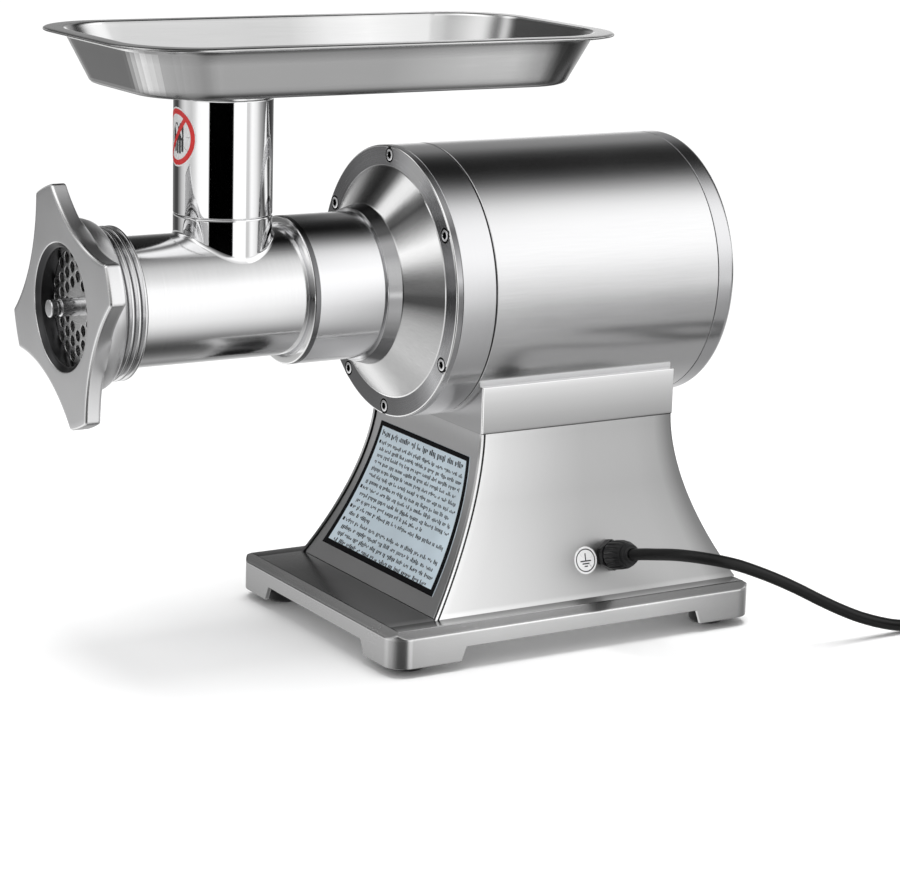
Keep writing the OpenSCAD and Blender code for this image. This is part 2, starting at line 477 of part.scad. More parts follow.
// ---------- feed tube and tray ----------
module feed_tube() color([0.85, 0.85, 0.86]) st() translate([0, tube_y, 0]) rotate_extrude($fn = 96)
    polygon([[27, 272.4], [28.95, 272.4], [28.95, 290.1], [tube_r - 0.3, 290.1], [tube_r, 290.5], [tube_r, tube_top_z - 0.5], [tube_r - 0.5, tube_top_z], [27, tube_top_z]]);
module tube_sticker() color([0.85, 0.1, 0.1]) st() intersection() {
    translate([0, tube_y, 300]) linear_extrude(60) ring2(tube_r + 0.3, tube_r);
    translate([0, tube_y, 339.5]) rotate([90, 0, 0]) cylinder(r = 18.8, h = 50);
}
bh = 370;   // height of the pan's bottom
module tray_slab(hw, hl, r, z) translate([0, tray_y, z]) linear_extrude(0.5) rrect(hw, -hl, hl, r);
module tray() color(STEEL) st() difference() {
    union() {
        difference() {
            hull() { tray_slab(65.5, 147.5, 38, bh); tray_slab(71, 153, 42, bh + 3); tray_slab(tray_hw - 11, tray_hl - 11, 46, tray_top_z - 2.6); }
            hull() { tray_slab(64.5, 146.5, 37, bh + 1.4); tray_slab(69.6, 151.6, 40.6, bh + 4); tray_slab(tray_hw - 11.6, tray_hl - 11.6, 45, tray_top_z - 1); }
            translate([0, tube_y, bh - 5]) cylinder(r = 26.9, h = 20, $fn = 96);
        }
        translate([0, tray_y, tray_top_z - 2.2]) linear_extrude(2.2) difference() {
            rrect(tray_hw, -tray_hl, tray_hl, 50);
            rrect(tray_hw - 11.8, -tray_hl + 11.8, tray_hl - 11.8, 45);
        }
    }
}
module tray_collar() color(STEEL) st() translate([0, tube_y, 0]) rotate_extrude($fn = 96)
    polygon([[25, 335], [26.9, 335], [26.9, tube_top_z + 0.2], [30.8, tube_top_z + 0.2], [30.8, bh], [26.9, bh], [26.9, bh + 1.4], [25, bh + 1.4]]);

// ---------- lock for the head ----------
module lock_at() st() translate([0, -123, axis_h]) rotate([0, -90, 0]) children();
module lock_pad() color([0.75, 0.6, 0.25]) lock_at() translate([0, 0, 41.6]) cylinder(r = 4.8, h = 2.4);
module lock_knob() color(BLACK) lock_at() {
    translate([0, 0, 44.1]) cylinder(r = 5, h = 22);
    translate([0, 0, 66]) difference() {
        union() { cylinder(r = 14, h = 18); for (a = [0:60:300]) rotate(a) translate([13, 0, 0]) cylinder(r = 6, h = 18, $fn = 32); }
        translate([0, 0, 15]) cylinder(r = 8, h = 5);
    }
}

base_plate();
rubber_feet();
foot_screws();
bottom_cover();
pedestal_shell();
pedestal_bolts();
front_panel();
instruction_plate();
earth_label();
saddle();
saddle_bolts();
motor_casing();
rear_cap();
rear_cap_screws();
casing_gasket();
gearbox_housing();
front_cover();
cover_screws();
head_socket();
motor_frame();
front_shield();
rear_shield();
stator_core();
stator_windings();
motor_bearings();
gear_bearings();
shaft_seal();
capacitor();
terminal_block();
switch_housing();
breaker_housing();
cable_gland();
cord();
cord_coil();
plug();
rotor_shaft();
rotor_core();
cooling_fan();
countershaft();
intermediate_gear();
output_shaft();
output_gear();
grinding_barrel();
plate_pin();
auger_bush();
auger();
auger_stud();
cutting_knife();
hole_plate();
ring_nut();
feed_tube();
tube_sticker();
tray();
tray_collar();
lock_pad();
lock_knob();
switch_rocker();
reset_button();
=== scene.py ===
import bpy, bmesh, json, math
import numpy as np
from mathutils import Matrix, Vector

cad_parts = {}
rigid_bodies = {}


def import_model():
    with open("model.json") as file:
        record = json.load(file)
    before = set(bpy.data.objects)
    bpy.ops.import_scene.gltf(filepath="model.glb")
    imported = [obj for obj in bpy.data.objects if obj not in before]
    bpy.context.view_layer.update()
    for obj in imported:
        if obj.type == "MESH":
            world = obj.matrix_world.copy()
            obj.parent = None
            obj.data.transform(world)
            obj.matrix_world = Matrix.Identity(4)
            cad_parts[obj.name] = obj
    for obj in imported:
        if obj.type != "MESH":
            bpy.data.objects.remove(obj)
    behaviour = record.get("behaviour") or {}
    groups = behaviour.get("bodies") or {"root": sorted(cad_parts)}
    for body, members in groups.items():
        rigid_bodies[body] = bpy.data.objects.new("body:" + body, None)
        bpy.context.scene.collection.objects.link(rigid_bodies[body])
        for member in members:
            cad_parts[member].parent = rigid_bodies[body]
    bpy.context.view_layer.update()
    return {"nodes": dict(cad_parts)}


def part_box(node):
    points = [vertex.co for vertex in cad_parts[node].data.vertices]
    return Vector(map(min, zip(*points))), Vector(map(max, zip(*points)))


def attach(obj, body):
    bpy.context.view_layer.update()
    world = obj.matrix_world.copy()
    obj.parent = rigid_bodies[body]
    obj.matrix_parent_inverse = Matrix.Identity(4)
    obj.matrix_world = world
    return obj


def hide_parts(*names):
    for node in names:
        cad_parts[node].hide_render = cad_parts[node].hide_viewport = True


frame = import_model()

scene = bpy.context.scene
pi = math.pi
rad = math.radians

# ------------------------------------------------------------------ main sizes (mm), read from the frame
def nb(n):
    lo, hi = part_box(n)
    return np.array(lo) * 1000, np.array(hi) * 1000
_lo, _hi = nb("motor_casing")
H = (_lo[2] + _hi[2]) / 2                  # height of the grinding axis
YO = 73.0                                  # row station of the casing's own zero
R = (_hi[0] - _lo[0]) / 2                  # casing radius
TY = -190.65 + YO                          # feed tube's station
MM = 0.001

# ------------------------------------------------------------------ camera
cam_data = bpy.data.cameras.new("view_camera")
cam = bpy.data.objects.new("view_camera", cam_data)
scene.collection.objects.link(cam)
scene.camera = cam
az, el, roll, dist = rad(58.77), rad(13.59), rad(1.58), 1.9127
back = Vector((math.sin(az) * math.cos(el), -math.cos(az) * math.cos(el), math.sin(el)))
right = Vector((math.cos(az), math.sin(az), 0))
up = back.cross(right)
r2 = right * math.cos(roll) + up * math.sin(roll)
u2 = -right * math.sin(roll) + up * math.cos(roll)
target = Vector((0.02624, -0.0333 + 0.073, 0.12885))
m = Matrix((r2, u2, back)).transposed().to_4x4()
m.translation = target + back * dist
cam.matrix_world = m
cam_data.lens = 114.65
cam_data.sensor_width = 36
cam_data.clip_start, cam_data.clip_end = 0.05, 50
cam_data.dof.use_dof = False

# ------------------------------------------------------------------ materials
class Nodes:
    """A short way to write node trees."""
    def __init__(self, name):
        self.m = bpy.data.materials.new(name)
        self.m.use_nodes = True
        self.t = self.m.node_tree
        self.t.nodes.clear()
        self.out = self.t.nodes.new("ShaderNodeOutputMaterial")
        self.b = self.t.nodes.new("ShaderNodeBsdfPrincipled")
        self.t.links.new(self.b.outputs[0], self.out.inputs[0])
        self.co = None
    def set(self, **k):
        for a, v in k.items():
            s = self.b.inputs[a.replace("_", " ")]
            if isinstance(v, bpy.types.NodeSocket):
                self.t.links.new(v, s)
            else:
                s.default_value = v
    def put(self, sock, v):
        if isinstance(v, bpy.types.NodeSocket):
            self.t.links.new(v, sock)
        else:
            sock.default_value = v
    def math(self, op, a, b=None, c=None, clamp=False):
        n = self.t.nodes.new("ShaderNodeMath")
        n.operation = op
        n.use_clamp = clamp
        for i, v in enumerate((a, b, c)):
            if v is not None:
                self.put(n.inputs[i], v)
        return n.outputs[0]
    def pos(self):
        if self.co is None:
            n = self.t.nodes.new("ShaderNodeTexCoord")
            self.co = n.outputs["Object"]
        return self.co
    def xyz(self):
        n = self.t.nodes.new("ShaderNodeSeparateXYZ")
        self.t.links.new(self.pos(), n.inputs[0])
        return n.outputs[0], n.outputs[1], n.outputs[2]
    def normal_y(self):
        g = self.t.nodes.new("ShaderNodeNewGeometry")
        n = self.t.nodes.new("ShaderNodeSeparateXYZ")
        self.t.links.new(g.outputs["True Normal"], n.inputs[0])
        return n.outputs[1]
    def vec(self, x, y, z):
        n = self.t.nodes.new("ShaderNodeCombineXYZ")
        for i, v in enumerate((x, y, z)):
            self.put(n.inputs[i], v)
        return n.outputs[0]
    def noise(self, vec, scale=1.0, detail=3.0, rough=0.5):
        n = self.t.nodes.new("ShaderNodeTexNoise")
        self.t.links.new(vec, n.inputs["Vector"])
        n.inputs["Scale"].default_value = scale
        n.inputs["Detail"].default_value = detail
        n.inputs["Roughness"].default_value = rough
        return n.outputs[0]
    def ramp(self, v, a, b, lo=0.0, hi=1.0):
        n = self.t.nodes.new("ShaderNodeMapRange")
        self.put(n.inputs[0], v)
        n.inputs[1].default_value, n.inputs[2].default_value = a, b
        n.inputs[3].default_value, n.inputs[4].default_value = lo, hi
        return n.outputs[0]
    def steps(self, value, stops):
        n = self.t.nodes.new("ShaderNodeValToRGB")
        n.color_ramp.interpolation = "LINEAR"
        top = max(v for _, v in stops)
        e = n.color_ramp.elements
        while len(e) > 1:
            e.remove(e[-1])
        e[0].position, e[0].color = stops[0][0], (stops[0][1] / top,) * 3 + (1,)
        for a, v in stops[1:]:
            e.new(a).color = (v / top,) * 3 + (1,)
        self.t.links.new(value, n.inputs[0])
        return self.math("MULTIPLY", n.outputs[0], top)
    def mix(self, f, a, b):
        n = self.t.nodes.new("ShaderNodeMix")
        n.data_type = "RGBA"
        self.put(n.inputs[0], f)
        for s, v in ((n.inputs[6], a), (n.inputs[7], b)):
            self.put(s, v if isinstance(v, bpy.types.NodeSocket) else (*v, 1.0))
        return n.outputs[2]
    def bump(self, h, strength=0.2, dist=0.0003, normal=None):
        n = self.t.nodes.new("ShaderNodeBump")
        self.put(n.inputs["Height"], h)
        n.inputs["Strength"].default_value = strength
        n.inputs["Distance"].default_value = dist
        if normal is not None:
            self.t.links.new(normal, n.inputs["Normal"])
        return n.outputs[0]


def metal(name, color=(0.8, 0.8, 0.8), rough=0.25, lay="x", fine=2600.0, vary=0.05, bump=0.05, centre=(0.0, H * MM), shade=0.06, aniso=0.0, blot=18.0, painted_fan=None, painted_light=None, lean=None):
    """Metal with a drawn or turned finish. lay says how its fine lines run: x, y or z along an axis, ring round the
    grinding axis, radial away from it, none for a polish."""
    n = Nodes(name)
    x, y, z = n.xyz()
    if lay in ("ring", "radial"):
        dx, dz = n.math("SUBTRACT", x, centre[0]), n.math("SUBTRACT", z, centre[1])
        r = n.math("SQRT", n.math("ADD", n.math("MULTIPLY", dx, dx), n.math("MULTIPLY", dz, dz)))
        if lay == "ring":
            v = n.vec(r, y, 0.0)
            v = n.vec(n.math("MULTIPLY", r, 1.0), n.math("MULTIPLY", y, 1.0), 0.37)
            tex = n.noise(v, fine, 2.0)
        else:
            a = n.math("ARCTAN2", dz, dx)
            v = n.vec(n.math("MULTIPLY", a, 0.07), n.math("MULTIPLY", r, 0.04), 0.2)
            tex = n.noise(v, fine, 3.0)
    elif lay == "none":
        tex = n.noise(n.pos(), fine, 4.0)
    else:
        s = {"x": (0.02, 1, 1), "y": (1, 0.02, 1), "z": (1, 1, 0.02)}[lay]
        v = n.vec(n.math("MULTIPLY", x, s[0]), n.math("MULTIPLY", y, s[1]), n.math("MULTIPLY", z, s[2]))
        tex = n.noise(v, fine, 2.0)
    cloud = n.noise(n.pos(), blot, 4.0)
    t = n.ramp(tex, 0.25, 0.75, -1.0, 1.0)
    c = n.ramp(cloud, 0.3, 0.7, -1.0, 1.0)
    k = n.math("ADD", 1.0, n.math("ADD", n.math("MULTIPLY", t, shade), n.math("MULTIPLY", c, shade * 0.35)))
    if painted_fan:                       # painted reflection: the light and dark fans of turned faces, painted into the base colour as (angle about the grinding axis, factor)
        a = n.ramp(n.math("ARCTAN2", dz, dx), -pi, pi, 0.0, 1.0)
        k = n.math("MULTIPLY", k, n.steps(a, [((q + 180) / 360, f) for q, f in painted_fan]))
    # painted light and shade: the base colour times a factor given by position
    if painted_light:
        k = n.math("MULTIPLY", k, painted_light(n, x, y, z))
    col = n.vec(n.math("MULTIPLY", k, color[0]), n.math("MULTIPLY", k, color[1]), n.math("MULTIPLY", k, color[2]))
    ro = n.math("ADD", rough, n.math("ADD", n.math("MULTIPLY", t, vary * 0.5), n.math("MULTIPLY", c, vary * 0.5)), clamp=True)
    n.set(Base_Color=col, Roughness=ro, Metallic=1.0)
    if aniso:
        n.set(Anisotropic=aniso)
    if bump:
        n.set(Normal=n.bump(tex, bump, 0.00012))
    elif lean:                    # pressed sheet bulges a little: its normal leans up or down
        g = n.t.nodes.new("ShaderNodeNewGeometry")
        a, b = n.t.nodes.new("ShaderNodeVectorMath"), n.t.nodes.new("ShaderNodeVectorMath")
        a.operation, b.operation = "ADD", "NORMALIZE"
        n.t.links.new(g.outputs["Normal"], a.inputs[0])
        n.t.links.new(n.vec(0.0, 0.0, lean(n, x, y, z)), a.inputs[1])
        n.t.links.new(a.outputs[0], b.inputs[0])
        n.set(Normal=b.outputs[0])
    return n.m


def plastic(name, color, rough=0.45, grain=900.0, bump=0.08, spec=0.5, vary=0.06, coat=0.0):
    n = Nodes(name)
    g = n.noise(n.pos(), grain, 4.0)
    c = n.noise(n.pos(), 30.0, 4.0)
    k = n.math("ADD", 1.0, n.math("MULTIPLY", n.ramp(c, 0.3, 0.7, -1.0, 1.0), 0.08))
    col = n.vec(n.math("MULTIPLY", k, color[0]), n.math("MULTIPLY", k, color[1]), n.math("MULTIPLY", k, color[2]))
    n.set(Base_Color=col, Roughness=n.ramp(c, 0.3, 0.7, rough - vary, rough + vary), Specular_IOR_Level=spec)
    if coat:
        n.set(Coat_Weight=coat)
    n.set(Normal=n.bump(g, bump, 0.0003))
    return n.m


def along(n, v, lo, hi, stops):
    """Factor by a coordinate in mm: stops run from lo to hi."""
    return n.steps(n.ramp(v, lo * MM, hi * MM, 0.0, 1.0), [((a - lo) / (hi - lo), f) for a, f in stops])

def painted_shade_stand(n, x, y, z):
    """Painted shade: the stand's sides are painted darker towards their rear corner, with painted highlights along
    their top and bottom edges.
    """
    f = n.math("POWER", n.ramp(z, 0.145, 0.0304, 0.0, 1.0), 1.75)
    yf = n.math("ADD", (YO - 36.4) * MM, n.math("MULTIPLY", f, -0.0446))
    wide = n.math("ADD", 0.1517, n.math("MULTIPLY", f, 0.0892))
    t = n.math("DIVIDE", n.math("SUBTRACT", y, yf), wide, clamp=True)
    side = n.steps(t, [(0, 1.3), (.015, 1.25), (.04, 1.12), (.12, 1.0), (.26, .88), (.39, .77), (.52, .69), (.79, .66), (.90, .60), (.94, .46), (.97, .34), (1, .28)])
    return n.math("MULTIPLY", side, along(n, z, 30, 146, [(30, 1.25), (32, 1.2), (34, 1.0), (100, 1.0), (140, 1.2), (143.5, 1.25), (146, 1.3)]))

# painted shade: the saddle's sides are painted darker towards the bottom and lighter towards the top
def painted_shade_saddle(n, x, y, z):
    return along(n, z, 144, 178, [(144, .35), (145.6, .5), (147, .64), (154, .74), (164, .92), (172, 1.1), (176, 1.3), (178, 1.3)])

def painted_reflection_base_top(n, x, y, z):
    # painted reflection: a dark band painted on the top beside the stand's foot, lighter towards the outer rim
    side = along(n, n.math("ABSOLUTE", x), 80, 110, [(80, 1.0), (91.5, 1.0), (92.6, .28), (96, .34), (99, .55), (102, .85), (104, 1.05), (110, 1.15)])
    lip = along(n, y, -62, 20, [(-62, .55), (-40, .34), (-12, .22), (-8, .24), (-5, 1.0), (20, 1.0)])       # painted reflection: the stand's dark reflection painted on the top in front of it
    part = along(n, x, -110, 110, [(-110, 0), (-84, .35), (-50, .9), (-20, 1), (84, 1), (94, .45), (102, .1), (110, 0)])
    lip = n.math("SUBTRACT", 1.0, n.math("MULTIPLY", part, n.math("SUBTRACT", 1.0, lip)), clamp=True)
    return n.math("MULTIPLY", side, lip)

def painted_light_bands_wall(n, x, y, z):
    """Painted light on the tray's outer wall: painted bands of light and shade round its corners, darker at its bottom
    roll and top.
    """
    a = along(n, y, -220, 140, [(-220, .95), (-160, .93), (-100, .97), (-40, 1.04), (0, 1.1), (46, 1.2), (58, 1.15), (70, .95), (82, .20), (90, .13), (100, .2), (112, .5), (140, .6)])
    b = n.steps(n.ramp(n.normal_y(), -1.0, 1.0, 0.0, 1.0), [(0, .08), (.045, .09), (.05, .3), (.06, .5), (.10, 1.4), (.14, 1.15), (.18, .78), (.28, .92), (.5, 1.0), (.56, .9), (.62, .6), (1, .8)])
    c = along(n, z, 368, 404, [(368, .2), (371, .25), (373, .5), (375.5, .92), (378, 1.0), (392, 1.0), (399, .75), (402, .5), (404, .5)])
    return n.math("MULTIPLY", n.math("MULTIPLY", a, b), c)

def lean_wall(n, x, y, z):
    a = along(n, y, -220, 140, [(-220, 0), (-42, 0), (-10, .11), (15, .21), (50, .22), (64, .09), (76, 0.0), (140, 0)])
    return n.math("MULTIPLY", a, along(n, z, 368, 404, [(368, .1), (374, .5), (382, .9), (388, 1.0), (395, .95), (400, .5), (404, .2)]))

# painted light: the tray's inner pan painted lighter at chosen stations along its length
def painted_light_pan(n, x, y, z):
    return along(n, y, -220, 140, [(-220, 1.35), (-180, 1.35), (-150, 1.08), (-60, 1.0), (-30, 1.0), (0, 1.25), (30, 1.35), (60, 1.2), (140, 1.0)])

# painted shade and highlight: the base's sides painted darker towards front, rear and bottom, with a painted highlight
# along the top edge
def painted_shade_base(n, x, y, z):
    a = along(n, y, -60, 250, [(-60, .62), (-48, .68), (-20, .85), (30, 1.0), (150, 1.0), (200, .82), (240, .62), (250, .62)])
    return n.math("MULTIPLY", a, along(n, z, 5, 31, [(5, .7), (8, .85), (20, 1.0), (24.5, 1.05), (25.2, 1.3), (26.4, 1.3), (27, 1.05), (31, 1.1)]))

M = {
    "tray": metal("tray_steel", (0.80, 0.80, 0.80), 0.20, "y", 1500, 0.04, 0.02, shade=0.03),
    # painted light bands on the tray's outer wall
    "tray_out": metal("tray_outer_steel", (0.80, 0.80, 0.80), 0.22, "y", 1500, 0.03, 0.0, shade=0.01, painted_light=painted_light_bands_wall, lean=lean_wall),
    # the inner pan: a darker copy of the tray steel as painted shade, with painted light along its length
    "tray_in": metal("tray_inner_steel", (0.62, 0.62, 0.62), 0.22, "y", 1500, 0.03, 0.0, shade=0.02, painted_light=painted_light_pan),
    # painted highlight: a brighter copy of the tray steel for the rim
    "tray_rim_painted_highlight": metal("tray_rim_painted_highlight_steel", (0.93, 0.93, 0.93), 0.20, "none", 900, 0.03, 0.0, shade=0.015),
    "rim": metal("rim_steel", (0.84, 0.84, 0.84), 0.16, "none", 900, 0.03, 0.01, shade=0.02),
    "chrome": metal("mirror_chrome", (0.88, 0.88, 0.885), 0.045, "none", 500, 0.015, 0.0, shade=0.01),
    "polish": metal("polished_steel", (0.84, 0.84, 0.845), 0.13, "ring", 2600, 0.04, 0.02, shade=0.03),
    "socket": metal("socket_steel", (0.84, 0.84, 0.85), 0.14, "ring", 2200, 0.03, 0.02, shade=0.03),
    "thread": metal("thread_steel", (0.78, 0.78, 0.785), 0.16, "ring", 2200, 0.05, 0.03),
    # painted shade: a dark copy of the thread steel for the thread's grooves
    "groove_painted_shade": metal("thread_groove_painted_shade", (0.16, 0.16, 0.165), 0.30, "ring", 2200, 0.05, 0.03),
    "nut": metal("nut_aluminium", (0.82, 0.82, 0.825), 0.32, "none", 2400, 0.05, 0.05, shade=0.04),
    # painted highlight: a brighter copy of the nut's metal for its edges
    "nut_edge": metal("nut_edge", (0.93, 0.93, 0.93), 0.22, "none", 1200, 0.04, 0.03, shade=0.03),
    # painted shade: near-black steel for the recessed bore by the plate
    "bore": metal("nut_bore_painted_shade", (0.07, 0.07, 0.072), 0.30, "ring", 1200, 0.05, 0.05),
    "plate": metal("plate_steel", (0.82, 0.82, 0.82), 0.26, "x", 1900, 0.05, 0.04, shade=0.05),
    "knife": metal("knife_steel", (0.55, 0.55, 0.56), 0.25, "ring", 1500, 0.06, 0.05),
    # painted reflection: light and dark fans painted by angle round the axis
    "cone": metal("cone_brushed_painted_fans", (0.76, 0.76, 0.76), 0.24, "radial", 5200, 0.06, 0.05, shade=0.10,
        painted_fan=[(-180, 1), (-140, 1.0), (-131, .30), (-122, .5), (-112, 1.4), (-90, 1.25), (-74, .95), (-60, .82), (-40, 1.05), (-16, 1.0), (-9, .75), (-3, .18), (1, .14), (6, .32), (12, .7), (22, 1.15), (30, 1.3),
            (38, .85), (45, .35), (51, .12), (56, .5), (62, 1.3), (72, 1.3), (80, .32), (90, .22), (100, .6), (110, 1.2), (120, 1.35), (132, 1.25), (140, .9), (148, .4), (160, 1)]),
    # painted reflection: light and dark fans painted by angle round the axis
    "throat": metal("throat_ring_painted_fans", (0.80, 0.80, 0.81), 0.20, "ring", 1800, 0.04, 0.01, shade=0.03,
        painted_fan=[(-180, .9), (-84, 1.0), (-72, 1.1), (-66, .5), (-60, .10), (-50, .22), (-40, .42), (-30, .6), (-20, .62), (-10, .95), (0, .95), (10, 1.25), (16, 1.2), (22, 1.0), (30, .6), (40, .5), (48, .17),
            (56, .3), (64, .7), (72, .7), (80, .2), (90, .32), (98, 1.1), (106, .7), (120, 1.05), (130, 1.2), (150, .8), (180, .9)]),
    # painted reflection: a dark copy of the socket steel for the socket's front band
    "socket_band_painted_dark": metal("socket_band_painted_dark_reflection", (0.20, 0.20, 0.205), 0.20, "ring", 1800, 0.04, 0.01, shade=0.03),
    # painted reflection: light and dark fans painted by angle round the axis
    "flange": metal("flange_turned_painted_fans", (0.50, 0.50, 0.51), 0.26, "ring", 2600, 0.05, 0.04, shade=0.05,
        painted_fan=[(-180, .5), (-130, .36), (-100, .36), (-80, .42), (-60, .6), (-50, 1.0), (-40, 1.7), (-32, 1.3), (-20, .85), (-10, .75), (-3, .42), (3, .42), (10, 1.1), (20, .6), (30, .25), (40, .75), (52, 1.3), (60, 2.0), (72, 2.0), (80, 1.6), (90, .7), (120, .75), (140, .5), (160, .5), (180, .5)]),
    # painted highlight: a brighter, smoother steel for edges and front faces
    "edge": metal("bright_edge", (0.93, 0.93, 0.93), 0.14, "ring", 1800, 0.03, 0.01, shade=0.02),
    "bell": metal("bell_steel", (0.76, 0.76, 0.77), 0.19, "ring", 1800, 0.04, 0.02, shade=0.03),
    "casing": metal("casing_steel", (0.79, 0.79, 0.795), 0.20, "y", 1700, 0.03, 0.012, shade=0.02),
    "cap": metal("cap_steel", (0.70, 0.70, 0.71), 0.20, "ring", 1800, 0.03, 0.012, shade=0.02),
    # painted shade towards the stand's rear corner
    "stand": metal("stand_steel", (0.70, 0.70, 0.70), 0.30, "z", 1500, 0.01, 0.0, shade=0.008, painted_light=painted_shade_stand),
    "stand_flat": metal("stand_back_steel", (0.64, 0.64, 0.645), 0.30, "z", 1500, 0.03, 0.008, shade=0.012),
    "front": metal("front_panel_steel", (0.68, 0.68, 0.685), 0.34, "z", 1500, 0.03, 0.008, shade=0.02),
    # painted shade and highlight on the base's sides
    "base": metal("base_steel", (0.76, 0.76, 0.76), 0.25, "y", 1500, 0.03, 0.008, shade=0.015, painted_light=painted_shade_base),
    # painted reflections on the base's top
    "base_top": metal("base_top_steel", (0.78, 0.78, 0.78), 0.20, "y", 1500, 0.03, 0.008, shade=0.015, painted_light=painted_reflection_base_top),
    # painted shade on the saddle's sides, darker low down
    "saddle": metal("saddle_steel", (0.78, 0.78, 0.78), 0.30, "y", 1500, 0.01, 0.0, shade=0.008, painted_light=painted_shade_saddle),
    # painted shade: a darker copy of the saddle steel for its front end face
    "saddle_end_painted_shade": metal("saddle_end_painted_shade_steel", (0.50, 0.50, 0.505), 0.30, "x", 1500, 0.03, 0.008, shade=0.02),
    "screw": metal("screw_steel", (0.86, 0.86, 0.87), 0.22, "none", 1500, 0.05, 0.03),
    # painted shade: near-black for recesses, counterbores, the stand's inner faces and the line behind its front edge;
    # also the casing's dark joint ring
    "dark": metal("dark_joint_and_painted_recess_shade", (0.04, 0.04, 0.04), 0.5, "none", 1500, 0.05, 0.05),
    "gear": metal("gear_steel", (0.55, 0.55, 0.56), 0.30, "ring", 1800, 0.08, 0.05),
    "cast": metal("raw_casting", (0.45, 0.45, 0.46), 0.5, "none", 700, 0.1, 0.35, shade=0.12),
    "lam": metal("lamination_steel", (0.25, 0.26, 0.28), 0.45, "ring", 1500, 0.1, 0.2, shade=0.2),
    "copper": metal("copper_wire", (0.62, 0.28, 0.12), 0.32, "ring", 900, 0.1, 0.5, shade=0.25),
    "brass": metal("bronze", (0.62, 0.45, 0.18), 0.3, "ring", 900, 0.1, 0.1),
    "rubber": plastic("black_rubber", (0.012, 0.012, 0.013), 0.55, 500, 0.12, 0.35),
    "cord": plastic("cord_rubber", (0.006, 0.006, 0.006), 0.42, 300, 0.04, 0.28),
    "black": plastic("black_plastic", (0.007, 0.007, 0.0075), 0.36, 700, 0.06, 0.35),
    "red": plastic("red_plastic", (0.55, 0.02, 0.015), 0.3, 700, 0.04, 0.5),
    "white": plastic("white_plastic", (0.78, 0.76, 0.70), 0.4, 600, 0.05, 0.5),
    "film_white": plastic("white_film", (0.86, 0.86, 0.86), 0.28, 250, 0.02, 0.5, 0.04),
    "film_red": plastic("red_film", (0.72, 0.02, 0.02), 0.28, 250, 0.02, 0.5, 0.04),
    "film_black": plastic("black_film", (0.02, 0.02, 0.022), 0.3, 250, 0.02, 0.5, 0.04),
}

# ------------------------------------------------------------------ mesh helpers
def even(ob, angle):
    """Smooth shading that keeps broad faces flat beside their rounded edges."""
    me = ob.data
    me.polygons.foreach_set("use_smooth", [True] * len(me.polygons))
    me.set_sharp_from_angle(angle=rad(angle))
    md = ob.modifiers.new("even", "WEIGHTED_NORMAL")
    md.mode, md.weight, md.keep_sharp = "FACE_AREA", 50, True


def make(name, verts, faces, mat, body="root", replaces=(), slot=None, angle=34, smooth=True, closed=True):
    me = bpy.data.meshes.new(name)
    me.from_pydata([(float(a) * MM, float(b) * MM, float(c) * MM) for a, b, c in verts], [], faces)
    if closed:
        bm = bmesh.new()
        bm.from_mesh(me)
        bmesh.ops.remove_doubles(bm, verts=bm.verts, dist=1e-7)
        bmesh.ops.recalc_face_normals(bm, faces=bm.faces)
        bm.to_mesh(me)
        bm.free()
    me.validate()
    ob = bpy.data.objects.new(name, me)
    scene.collection.objects.link(ob)
    if smooth:
        even(ob, angle)
    for x in (mat if isinstance(mat, (list, tuple)) else [mat]):
        me.materials.append(M[x] if isinstance(x, str) else x)
    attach(ob, body)
    if replaces:
        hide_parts(*replaces)
    return ob


def rounded(pts, n=4, closed=False):
    """pts are (a, b) or (a, b, radius). Corners with a radius become arcs."""
    out = []
    N = len(pts)
    for i, p in enumerate(pts):
        r = p[2] if len(p) > 2 else 0.0
        if r <= 0 or (not closed and i in (0, N - 1)):
            out.append((p[0], p[1]))
            continue
        P = np.array(p[:2], float)
        A, B = np.array(pts[i - 1][:2], float), np.array(pts[(i + 1) % N][:2], float)
        a, b = A - P, B - P
        la, lb = np.linalg.norm(a), np.linalg.norm(b)
        a, b = a / la, b / lb
        ang = math.acos(max(-1, min(1, float(a @ b))))
        if ang > pi - 0.02:
            out.append((p[0], p[1]))
            continue
        t = min(r / math.tan(ang / 2), la * 0.49, lb * 0.49)
        rr = t * math.tan(ang / 2)
        c = P + (a + b) / np.linalg.norm(a + b) * (rr / math.sin(ang / 2))
        s, e = P + a * t - c, P + b * t - c
        a0 = math.atan2(s[1], s[0])
        da = math.atan2(s[0] * e[1] - s[1] * e[0], float(s @ e))
        for k in range(n + 1):
            q = a0 + da * k / n
            out.append((c[0] + rr * math.cos(q), c[1] + rr * math.sin(q)))
    return out


def ring_faces(rows, N, wrap):
    f = []
    for i in range(rows if wrap else rows - 1):
        j = (i + 1) % rows
        for k in range(N):
            l = (k + 1) % N
            f.append((i * N + k, i * N + l, j * N + l, j * N + k))
    return f


def lathe_vf(profile, N=160, wrap=True, off=(0.0, None), y0=YO, axis="y", origin=None):
    """Profile of (radius, station). axis y turns round the grinding axis; axis z turns round a vertical line at origin."""
    v = []
    cz = H if off[1] is None else off[1]
    for r, s in profile:
        for k in range(N):
            a = 2 * pi * k / N
            if axis == "y":
                v.append((off[0] + r * math.cos(a), s + y0, cz + r * math.sin(a)))
            else:
                v.append((origin[0] + r * math.cos(a), origin[1] + r * math.sin(a), s))
    return v, ring_faces(len(profile), N, wrap)


def lathe(name, profile, mat, N=160, wrap=True, **k):
    geo = {a: k.pop(a) for a in ("off", "y0", "axis", "origin") if a in k}
    v, f = lathe_vf(profile, N, wrap, **geo)
    if not wrap:      # close the ends with fans
        rows = len(profile)
        f.append(tuple(range(N))[::-1])
        f.append(tuple((rows - 1) * N + i for i in range(N)))
    return make(name, v, f, mat, **k)


def rot_to(direction):
    return Vector((0, 0, 1)).rotation_difference(Vector(direction)).to_matrix()


